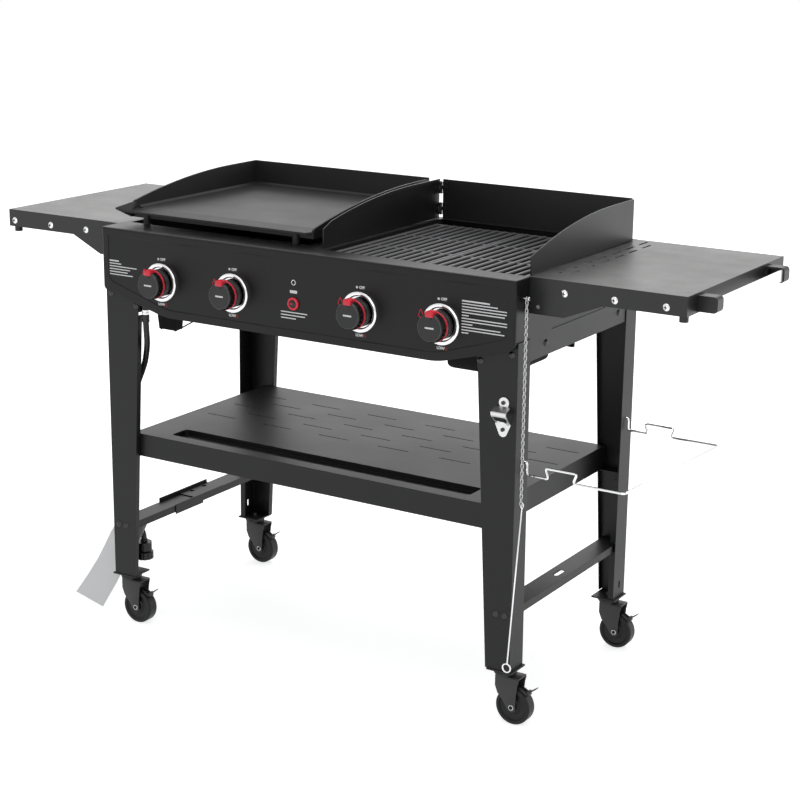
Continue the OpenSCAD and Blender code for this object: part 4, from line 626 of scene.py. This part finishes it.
NODE_FINISH = {
    "control_panel": panel_enamel, "firebox": box_enamel, "burner_bulkhead": box_enamel,
    "knob_bezels": bright_chrome, "igniter_housing": signal_red, "gas_manifold": manifold_steel,
    "valve_bodies": cast_brass, "burners": shade_dark_steel, "heat_plates": shade_dark_steel,
    "spark_electrodes": glazed_ceramic, "leg_front_left": frame_powder, "leg_front_right": frame_powder,
    "leg_rear_left": frame_powder, "leg_rear_right": frame_powder, "bottom_shelf": frame_powder,
    "crossbars": frame_powder, "tank_bracket": frame_powder, "frame_bolts": bolt_steel,
    "bottle_opener": satin_steel, "match_chain": link_chrome, "match_rod": bright_chrome,
    "table_left": table_powder, "table_right": table_powder, "table_feet": hose_rubber,
    "towel_bar": bar_steel, "towel_bar_brackets": black_plastic, "grease_tray": box_enamel,
    "grease_cup": box_enamel, "griddle": plate_seasoning, "grate_left": grate_enamel,
    "grate_right": grate_enamel, "windshield_left": shield_paint, "windshield_rear": shield_paint,
    "windshield_right": shield_paint, "windshield_hinge_pins": shield_paint,
    "trash_bag_holder": bright_chrome, "gas_hose": hose_rubber, "regulator": black_plastic,
    "regulator_nut": black_plastic, "igniter_button": black_plastic,
    "caster_yoke": caster_black, "caster_wheel": hard_tyre, "brake_lever": caster_black,
    "knob": knob_plastic, "valve_stem": plain_steel,
}


def finish_of(node):
    return NODE_FINISH.get(node) or NODE_FINISH[node.rsplit("_", 1)[0]]


# Settings

class CartPaint(bpy.types.PropertyGroup):
    """Colours of the cart's finishes."""
    panel: FloatVectorProperty(name="Panel", description="Enamel of the control panel", subtype="COLOR",
                               size=3, default=(0.005, 0.005, 0.0054), min=0, max=1)
    frame: FloatVectorProperty(name="Frame", description="Powder coat of legs, shelf and crossbars",
                               subtype="COLOR", size=3, default=(0.008, 0.008, 0.0084), min=0, max=1)
    table: FloatVectorProperty(name="Tables", description="Powder coat of the side tables",
                               subtype="COLOR", size=3, default=(0.016, 0.016, 0.0165), min=0, max=1)
    red: FloatVectorProperty(name="Red", description="Red of the pointers and the igniter ring",
                             subtype="COLOR", size=3, default=(0.95, 0.03, 0.06), min=0, max=1)


class CartStudio(bpy.types.PropertyGroup):
    """Camera and light of the studio."""
    lens: FloatProperty(name="Lens", description="Focal length on a 36 mm sensor", default=82.33,
                        min=20, max=200, unit="CAMERA")
    backdrop: FloatVectorProperty(name="Backdrop", description="Colour of the floor and backdrop",
                                  subtype="COLOR", size=3, default=(1.0, 1.0, 1.0), min=0, max=1)
    key_power: FloatProperty(name="Key light", description="Power of the large overhead light",
                             default=40.0, min=0, max=500, unit="POWER")
    rear_power: FloatProperty(name="Rear light", description="Power of the softbox behind the cart",
                              default=32.0, min=0, max=500, unit="POWER")
    fill_power: FloatProperty(name="Fill light", description="Power of the light beside the camera",
                              default=16.0, min=0, max=500, unit="POWER")
    ambient: FloatProperty(name="Ambient", description="Light of the room on the object", default=0.35,
                           min=0, max=2)


class CartMarks(bpy.types.PropertyGroup):
    """Printed marks on the control panel."""
    letter: FloatProperty(name="Letters", description="Height of the marks beside the knobs",
                          default=0.005, min=0.002, max=0.01, unit="LENGTH")
    ink: FloatProperty(name="Ink", description="Thickness of the printed layer", default=0.0001,
                       min=0.00002, max=0.0005, unit="LENGTH")
    flame: FloatProperty(name="Flame", description="Height of the flame marks", default=0.017,
                         min=0.005, max=0.03, unit="LENGTH")


class CartGas(bpy.types.PropertyGroup):
    """The gas hose."""
    hose: FloatProperty(name="Hose", description="Outer diameter of the hose", default=0.012, min=0.008,
                        max=0.016, unit="LENGTH")


# Camera and studio

class CART_OT_camera(bpy.types.Operator):
    """Place the camera at the photograph's point of view"""
    bl_idname = "cart.camera"
    bl_label = "Camera"

    def execute(self, context):
        turn, down, roll = (math.radians(a) for a in (CAMERA_TURN, CAMERA_DOWN, CAMERA_ROLL))
        ahead = Vector((-math.sin(turn) * math.cos(down), math.cos(turn) * math.cos(down),
                        -math.sin(down)))
        right = Vector((math.cos(turn), math.sin(turn), 0))
        up = right.cross(ahead)
        side = math.cos(roll) * right + math.sin(roll) * up
        top = -math.sin(roll) * right + math.cos(roll) * up
        clear_picks()
        bpy.ops.object.camera_add(location=(0, 0, 0))
        camera = bpy.context.object
        camera.name = "photo_camera"
        camera.matrix_world = Matrix.Translation(CAMERA_PLACE) @ Matrix(
            (side, top, -ahead)).transposed().to_4x4()
        camera.data.sensor_width = 36
        camera.data.lens = context.scene.cart_studio.lens
        camera.data.clip_end = 60
        context.scene.camera = camera
        return {"FINISHED"}


def lamp(name, place, aim, size, power):
    """A rectangular light that the camera doesn't see."""
    clear_picks()
    bpy.ops.object.light_add(type="AREA", location=place)
    light = bpy.context.object
    light.name = name
    light.rotation_euler = (Vector(aim) - Vector(place)).to_track_quat("-Z", "Y").to_euler()
    light.data.shape = "RECTANGLE"
    light.data.size, light.data.size_y = size
    light.data.energy = power
    light.visible_camera = False
    return light


def straight_rays(tree, rays):
    """One where a camera, glossy or transmission ray looks."""
    total = rays.outputs["Is Camera Ray"]
    for kind in ("Is Glossy Ray", "Is Transmission Ray"):
        more = tree.nodes.new("ShaderNodeMath")
        more.operation = "MAXIMUM"
        tree.links.new(total, more.inputs[0])
        tree.links.new(rays.outputs[kind], more.inputs[1])
        total = more.outputs[0]
    return total


class CART_OT_stage(bpy.types.Operator):
    """Make the pale floor, the room's light and the studio lights"""
    bl_idname = "cart.stage"
    bl_label = "Stage"

    def execute(self, context):
        studio = context.scene.cart_studio
        context.scene.view_settings.view_transform = "Standard"
        clear_picks()
        bpy.ops.mesh.primitive_plane_add(size=30, location=(0, 0, 0))
        floor = named("studio_floor")
        paper = bpy.data.materials.new("studio_paper")
        paper.use_nodes = True
        tree = paper.node_tree
        shader = tree.nodes["Principled BSDF"]
        shader.inputs["Base Color"].default_value = (*studio.backdrop, 1)
        shader.inputs["Roughness"].default_value = 0.9
        shader.inputs["Specular IOR Level"].default_value = 0.0
        rays = tree.nodes.new("ShaderNodeLightPath")
        glow = tree.nodes.new("ShaderNodeEmission")
        glow.inputs["Color"].default_value = (*studio.backdrop, 1)
        coords = tree.nodes.new("ShaderNodeTexCoord")
        away = tree.nodes.new("ShaderNodeVectorMath")
        away.operation = "LENGTH"
        link(tree, coords, "Object", away, 0)
        rise = tree.nodes.new("ShaderNodeMapRange")
        for key, value in (("From Min", 1.2), ("From Max", 3.5), ("To Min", 0.7), ("To Max", 1.0)):
            rise.inputs[key].default_value = value
        link(tree, away, "Value", rise, "Value")
        link(tree, rise, "Result", glow, "Strength")
        both = tree.nodes.new("ShaderNodeAddShader")
        choice = tree.nodes.new("ShaderNodeMixShader")
        tree.links.new(shader.outputs[0], both.inputs[0])
        tree.links.new(glow.outputs[0], both.inputs[1])
        tree.links.new(straight_rays(tree, rays), choice.inputs[0])
        tree.links.new(shader.outputs[0], choice.inputs[1])
        tree.links.new(both.outputs[0], choice.inputs[2])
        tree.links.new(choice.outputs[0], tree.nodes["Material Output"].inputs["Surface"])
        floor.data.materials.append(paper)

        world = context.scene.world or bpy.data.worlds.new("studio_room")
        context.scene.world = world
        world.use_nodes = True
        tree = world.node_tree
        tree.nodes.clear()
        rays = tree.nodes.new("ShaderNodeLightPath")
        room = tree.nodes.new("ShaderNodeBackground")
        room.inputs["Color"].default_value = (0.95, 0.97, 1.0, 1)
        room.inputs["Strength"].default_value = studio.ambient
        white = tree.nodes.new("ShaderNodeBackground")
        white.inputs["Color"].default_value = (*studio.backdrop, 1)
        choice = tree.nodes.new("ShaderNodeMixShader")
        tree.links.new(straight_rays(tree, rays), choice.inputs[0])
        tree.links.new(room.outputs[0], choice.inputs[1])
        tree.links.new(white.outputs[0], choice.inputs[2])
        out = tree.nodes.new("ShaderNodeOutputWorld")
        tree.links.new(choice.outputs[0], out.inputs["Surface"])

        lamp("overhead_softbox", (0.2, 0.3, 3.2), (0, 0, 0.7), (3.2, 2.2), studio.key_power)
        lamp("rear_softbox", (-2.4, 4.0, 2.25), (0, 0, 0.8), (4.5, 2.3), studio.rear_power)
        lamp("right_softbox", (3.4, 3.0, 1.0), (0.2, 0, 0.6), (2.4, 1.6), 0.55 * studio.rear_power)
        lamp("camera_fill", (1.2, -3.6, 2.2), (0, 0, 0.6), (2.0, 1.6), studio.fill_power)
        lamp("left_strip", (-3.0, -1.0, 1.6), (0, 0, 0.6), (0.8, 2.2), 0.15 * studio.fill_power)
        return {"FINISHED"}


# Gas hose

def hose_line():
    """The hose's route as evenly spread points on one smooth curve, in metres."""
    pts = [Vector(((x - CENTRE_X) / 1000, (y - CENTRE_Y) / 1000, z / 1000)) for x, y, z in HOSE_ROUTE]
    line = []
    for i in range(len(pts) - 1):
        a, b, c, d = (pts[max(0, min(len(pts) - 1, i + k))] for k in (-1, 0, 1, 2))
        for k in range(3):
            t = k / 3
            line.append(0.5 * (2 * b + (c - a) * t + (2 * a - 5 * b + 4 * c - d) * t * t
                               + (3 * b - a - 3 * c + d) * t ** 3))
    return line + [pts[-1]]


class CART_OT_hose(bpy.types.Operator):
    """Make the gas hose along its route, from its ferrule to the regulator"""
    bl_idname = "cart.hose"
    bl_label = "Gas hose"

    def execute(self, context):
        gas = context.scene.cart_gas
        line = hose_line()
        curve = bpy.data.curves.new("hose", "CURVE")
        curve.dimensions = "3D"
        spline = curve.splines.new("BEZIER")
        spline.bezier_points.add(len(line) - 1)
        for knot, point in zip(spline.bezier_points, line):
            knot.co = point
            knot.handle_left_type = knot.handle_right_type = "AUTO"
        curve.bevel_depth = gas.hose / 2
        curve.bevel_resolution = 6
        curve.resolution_u = 6
        curve.use_fill_caps = True
        hose = bpy.data.objects.new("gas_hose_rubber", curve)
        context.collection.objects.link(hose)
        hose.data.materials.append(hose_rubber())
        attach(hose, ROOT)
        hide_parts("gas_hose")
        return {"FINISHED"}


# Panel marks

def on_panel(piece, x, up):
    """Stands a flat piece up on the pressed field of the panel, facing the front."""
    piece.rotation_euler = (math.radians(90), 0, 0)
    piece.location = at(x, FIELD_Y, up)
    return settle(piece)


def letters(name, words, height, x, up, ink):
    clear_picks()
    bpy.ops.object.text_add(location=(0, 0, 0))
    text = bpy.context.object
    text.data.body = words
    text.data.size = height / 0.72
    text.data.align_x = "CENTER"
    text.data.align_y = "CENTER"
    text.data.extrude = ink
    text.data.offset = 0.0003
    bpy.ops.object.convert(target="MESH")
    return on_panel(named(name), x, up)


def disc(name, radius, x, up, ink, hole=0.0):
    """A printed dot, or a ring when it has a hole."""
    clear_picks()
    bpy.ops.mesh.primitive_circle_add(vertices=32, radius=radius, fill_type="NGON")
    piece = named(name)
    bpy.ops.object.mode_set(mode="EDIT")
    bpy.ops.mesh.select_all(action="SELECT")
    if hole:
        bpy.ops.mesh.inset(thickness=radius - hole)
        bpy.ops.mesh.delete(type="FACE")
    bpy.ops.object.mode_set(mode="OBJECT")
    return on_panel(thicken(piece, 2 * ink), x, up)


def bar(name, length, height, x0, up, ink):
    """A plain printed line that starts at x0."""
    low = at(x0, FIELD_Y, up) + Vector((0, -ink, -height / 2))
    high = at(x0, FIELD_Y, up) + Vector((length, ink, height / 2))
    return slab(name, low, high, edge=min(height * 0.3, ink * 0.8))


def flame(name, height, x, up, ink):
    """A flame outline: a circle drawn out to a point, with its middle cut away."""
    clear_picks()
    bpy.ops.mesh.primitive_circle_add(vertices=28, radius=height * 0.3, fill_type="NGON")
    piece = named(name)
    for v in piece.data.vertices:
        if v.co.y > 0:
            lift = v.co.y / (height * 0.3)
            v.co.y *= 1 + 1.3 * lift
            v.co.x *= 1 - 0.55 * lift * lift
    bpy.ops.object.mode_set(mode="EDIT")
    bpy.ops.mesh.select_all(action="SELECT")
    bpy.ops.mesh.inset(thickness=height * 0.075)
    bpy.ops.mesh.delete(type="FACE")
    bpy.ops.object.mode_set(mode="OBJECT")
    return on_panel(thicken(piece, 2 * ink), x, up)


class CART_OT_panel_marks(bpy.types.Operator):
    """Print the marks of the knobs and the igniter on the panel"""
    bl_idname = "cart.panel_marks"
    bl_label = "Panel marks"

    def execute(self, context):
        marks = context.scene.cart_marks
        ink = marks.ink
        white, red = [], []
        for k, x in enumerate(BURNER_X):
            white.append(disc(f"dot_{k}", 0.0024, x - 6.5, BURNER_UP + OFF_UP, ink))
            white.append(letters(f"off_{k}", "OFF", marks.letter, x + 4.5, BURNER_UP + OFF_UP, ink))
            white.append(letters(f"low_{k}", "LOW", marks.letter, x - 1, BURNER_UP + LOW_UP, ink))
            red.append(flame(f"low_flame_{k}", marks.letter * 1.3, x + 10.5, BURNER_UP + LOW_UP - 1,
                             ink))
            red.append(flame(f"high_flame_{k}", marks.flame, x + HIGH_FLAME[0],
                             BURNER_UP + HIGH_FLAME[1], ink))
        # Battery symbol and its cell above the igniter
        white.append(disc("battery_ring", 0.0052, -3, -58, ink, hole=0.0036))
        white.append(bar("battery_cell", 0.016, 0.0055, -11, -75.5, ink))
        # Plain lines: under the igniter, at the left end and at the right end
        for k, run in enumerate((60, 55, 34)):
            white.append(bar(f"igniter_line_{k}", run / 1000, 0.002, -32, -115 - 5.8 * k, ink))
        for k, run in enumerate((24, 30, 69, 52, 46, 59)):
            white.append(bar(f"left_line_{k}", run / 1000, 0.0028 if k == 0 else 0.002, -448,
                             -65 - 5.4 * k, ink))
        rows = (56, 72, 90, 90, 86, 14, 92, 92, 22, 78, 86, 14)
        for k, run in enumerate(rows):
            white.append(bar(f"right_line_{k}", run / 1000, 0.0028 if k == 0 else 0.002, 358,
                             -47 - 5.2 * k, ink))
        dress(merged("panel_print_white", white), print_white(), ROOT)
        dress(merged("panel_print_red", red), print_red(), ROOT)
        return {"FINISHED"}


# Knobs

class CART_OT_knob_trim(bpy.types.Operator):
    """Put the red pointer and band on each knob, a plain dash on its face, and a light grey ring on its
    face's edge as a painted highlight
    """
    bl_idname = "cart.knob_trim"
    bl_label = "Knob trim"

    def execute(self, context):
        band_radius, pointer_half, pointer_reach, rim_radius = 0.0282, 8, (19.5, 30), 23.6
        for k, x in enumerate(BURNER_X):
            n = k + 1
            # Band: a ring drawn from a circle, widened and closed
            clear_picks()
            bpy.ops.mesh.primitive_circle_add(
                vertices=96, radius=band_radius, location=at(x, KNOB_BAND_Y - 2, BURNER_UP),
                rotation=(math.radians(90), 0, 0))
            band = named(f"knob_band_{n}")
            bpy.ops.object.mode_set(mode="EDIT")
            bpy.ops.mesh.select_all(action="SELECT")
            bpy.ops.mesh.extrude_region_move(TRANSFORM_OT_translate={"value": (0, 0.004, 0)})
            bpy.ops.object.mode_set(mode="OBJECT")
            mod = band.modifiers.new("wall", "SOLIDIFY")
            mod.thickness = 0.0018
            mod.offset = -1
            settle(finish_mods(band))
            soften(band, 0.0004, 2, 50)
            low = at(x - pointer_half, KNOB_FACE_Y - 2.4, BURNER_UP + pointer_reach[0])
            high = at(x + pointer_half, KNOB_BAND_Y + 1.9, BURNER_UP + pointer_reach[1])
            pointer = slab(f"knob_pointer_{n}", low, high, 0.0012)
            trim = merged(f"knob_trim_{n}", [band, pointer])
            dress(trim, signal_red(), body_named(f"knob_{n}"))
            # A thin light grey ring on the face's edge: a painted highlight
            rim = eye(f"knob_rim_highlight_{n}", source_place(x, KNOB_FACE_Y, RIM + BURNER_UP), rim_radius, 0.35,
                      (90, 0, 0))
            dress(rim, rim_highlight_plastic(), body_named(f"knob_{n}"))
            dash = slab(f"knob_dash_{n}", at(x - 9, KNOB_FACE_Y - 0.12, BURNER_UP - 1.6),
                        at(x + 9, KNOB_FACE_Y + 0.1, BURNER_UP + 1.6), 0.00008)
            dress(dash, print_white(), body_named(f"knob_{n}"))
        return {"FINISHED"}


# Casters, match rod, igniter, tag and bolts

class CART_OT_casters(bpy.types.Operator):
    """Make the caster forks with their narrow side plates, and the brake levers"""
    bl_idname = "cart.casters"
    bl_label = "Casters"

    def execute(self, context):
        parts = [plate("fork_side", FORK_SIDE, y, 1.6) for y in (-FORK_HALF, FORK_HALF)]
        parts.append(slab("fork_top", (-0.013, -0.016, 0.0907), (0.036, 0.016, 0.0937), 0.0012))
        parts.append(rod("race", (0, 0, 93.6), (0, 0, 99.2), 20, 0.0012, 48))
        parts.append(rod("race_lip", (0, 0, 95.4), (0, 0, 97.4), 21.4, 0.0006, 48))
        parts.append(rod("swivel_stem", (0, 0, 98), (0, 0, 112), 5))
        parts += [plate("brake_arm", BRAKE_ARM, y, 2, 0.0004) for y in (-6, 6)]
        fork = merged("caster_fork", parts)
        axle_bar = rod("axle_bar", (AXLE_X, -AXLE_HALF, AXLE_Z), (AXLE_X, AXLE_HALF, AXLE_Z), 4.4)
        axle = merged("caster_axle", [axle_bar] + [
            eye("axle_rim", (AXLE_X, y, AXLE_Z), 4.6, 0.9, (90, 0, 0)) for y in (-16.4, 16.4)])
        # Dark discs on the axle's ends: painted shade in its bores
        bore = merged("axle_bore_shade", [
            rod("axle_bore", (AXLE_X, y - 0.3, AXLE_Z), (AXLE_X, y + 0.3, AXLE_Z), 3.6, 0.0001)
            for y in (-AXLE_HALF - 0.1, AXLE_HALF + 0.1)])
        lever = merged("caster_lever", [
            slab("pad", (0.048, -0.006, 0.0615), (0.0535, 0.006, 0.0705), 0.0012),
            plate("tab", BRAKE_TAB, 0, 11, 0.0005)])
        for n in range(1, 5):
            shift = joint_foot(f"caster_swivel_{n}")
            for piece, paint, label in ((fork, caster_black(), "fork"), (axle, link_chrome(), "axle"),
                                        (bore, hollow_shade_black(), "bore")):
                made = moved_copy(piece, f"caster_{label}_{n}", shift)
                dress(made, paint, f"caster_yoke_{n}_body")
                if piece is fork:
                    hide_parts(f"caster_yoke_{n}")
            made = moved_copy(lever, f"caster_lever_{n}", shift)
            dress(made, caster_black(), f"brake_lever_{n}_body")
            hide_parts(f"brake_lever_{n}")
        for piece in (fork, axle, bore, lever):
            bpy.data.objects.remove(piece)
        return {"FINISHED"}


class CART_OT_match(bpy.types.Operator):
    """Make the match rod: a small ring above, a long wire and a larger ring that faces the front"""
    bl_idname = "cart.match"
    bl_label = "Match rod"

    def execute(self, context):
        top, low = source_place(477, 22, 426), source_place(476, -15.5, 136.5)
        holder = merged("match_rod_wire", [
            eye("match_top", source_place(477, 22.4, 426), 4.2, 1.2, (0, 90, 0)),
            rod("match_wire", (top[0], top[1] - 0.4, top[2] - 4.2), low, 1.3, 0.0003, 16),
            eye("match_eye", source_place(475, -15.5, 128.4), 8, 1.4, (90, 0, 0))])
        dress(holder, bright_chrome(), "match_rod_body")
        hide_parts("match_rod")
        return {"FINISHED"}


class CART_OT_igniter(bpy.types.Operator):
    """Make the igniter's flush cap with its small red mark"""
    bl_idname = "cart.igniter"
    bl_label = "Igniter cap"

    def execute(self, context):
        cap = rod("igniter_cap", source_place(IGNITER_X, -2.6, IGNITER_Z),
                  source_place(IGNITER_X, 12, IGNITER_Z), 7.7, 0.0007, 48)
        dress(cap, knob_plastic(), "igniter_button_body")
        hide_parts("igniter_button")
        low, high = (Vector(source_place(*c)) / 1000 for c in (
            (IGNITER_X - 5.5, -2.9, IGNITER_Z - 0.8), (IGNITER_X + 0.5, -2.5, IGNITER_Z + 0.8)))
        mark = slab("igniter_mark", low, high, 0.00015)
        dress(mark, signal_red(), "igniter_button_body")
        return {"FINISHED"}


class CART_OT_tag(bpy.types.Operator):
    """Hang the blank card from the hose above the regulator"""
    bl_idname = "cart.tag"
    bl_label = "Hang tag"

    def execute(self, context):
        rows = len(TAG_RIGHT)
        clear_picks()
        bpy.ops.mesh.primitive_grid_add(x_subdivisions=1, y_subdivisions=rows - 1, size=1)
        card = named("hang_tag_card")
        ordered = sorted(card.data.vertices, key=lambda v: (-round(v.co.y, 3), -v.co.x))
        for row in range(rows):
            for v, spot in zip(ordered[2 * row:2 * row + 2], (TAG_RIGHT[row], TAG_LEFT[row])):
                v.co = Vector(source_place(*spot)) / 1000
        smooth = card.modifiers.new("bend", "SUBSURF")
        smooth.subdivision_type = "SIMPLE"
        smooth.levels = 2
        face_outward(thicken(card, TAG_THICK))
        bpy.ops.object.shade_smooth_by_angle(angle=math.radians(SMOOTH_ANGLE))
        dress(card, tag_card(), ROOT)
        tie = eye("hang_tag_tie", source_place(-458, 76, 193), 11, 0.8, (25, -20, 0))
        dress(tie, tag_card(), ROOT)
        return {"FINISHED"}


class CART_OT_recesses(bpy.types.Operator):
    """Put dark crosses on the heads of the table bolts, as painted shade in their recesses"""
    bl_idname = "cart.recesses"
    bl_label = "Bolt recesses"

    def execute(self, context):
        arms = []
        for x in TABLE_BOLT_X:
            for half_x, half_up in ((3.0, 0.8), (0.8, 3.0)):
                low = at(x - half_x, TABLE_BOLT_FACE_Y - 0.3, TABLE_BOLT_UP - half_up)
                high = at(x + half_x, TABLE_BOLT_FACE_Y + 0.2, TABLE_BOLT_UP + half_up)
                # Dark crosses: painted shade in the recesses of the bolt heads
                arms.append(slab("recess_arm", low, high, 0.0001))
        dress(merged("bolt_recess_shade", arms), hollow_shade_black(), ROOT)
        return {"FINISHED"}


# Panel in the sidebar

STEPS = ("camera", "hose", "stage", "finishes", "panel_marks", "knob_trim", "casters",
         "match", "igniter", "tag", "recesses")


class CART_OT_finishes(bpy.types.Operator):
    """Give every solid of the cart its finish"""
    bl_idname = "cart.finishes"
    bl_label = "Finishes"

    def execute(self, context):
        for node, piece in frame["nodes"].items():
            piece.data.materials.clear()
            piece.data.materials.append(finish_of(node)())
        return {"FINISHED"}


class CART_PT_panel(bpy.types.Panel):
    """Buttons for each piece of the cart"""
    bl_label = "Grill cart"
    bl_idname = "CART_PT_panel"
    bl_space_type = "VIEW_3D"
    bl_region_type = "UI"
    bl_category = "Grill cart"

    def draw(self, context):
        for group in ("cart_paint", "cart_studio", "cart_marks", "cart_gas"):
            box = self.layout.box()
            settings = getattr(context.scene, group)
            for key in settings.__annotations__:
                box.prop(settings, key)
        for step in STEPS:
            self.layout.operator("cart." + step)


SETTINGS = {"cart_paint": CartPaint, "cart_studio": CartStudio, "cart_marks": CartMarks,
            "cart_gas": CartGas}
CLASSES = (*SETTINGS.values(), CART_OT_camera, CART_OT_stage, CART_OT_hose, CART_OT_panel_marks,
           CART_OT_knob_trim, CART_OT_casters, CART_OT_match, CART_OT_igniter, CART_OT_tag,
           CART_OT_recesses, CART_OT_finishes, CART_PT_panel)


def register():
    for cls in CLASSES:
        bpy.utils.register_class(cls)
    for name, cls in SETTINGS.items():
        setattr(bpy.types.Scene, name, PointerProperty(type=cls))


def unregister():
    for name in SETTINGS:
        delattr(bpy.types.Scene, name)
    for cls in reversed(CLASSES):
        bpy.utils.unregister_class(cls)


def main():
    register()
    for step in STEPS:
        getattr(bpy.ops.cart, step)()


if __name__ == "__main__":
    main()
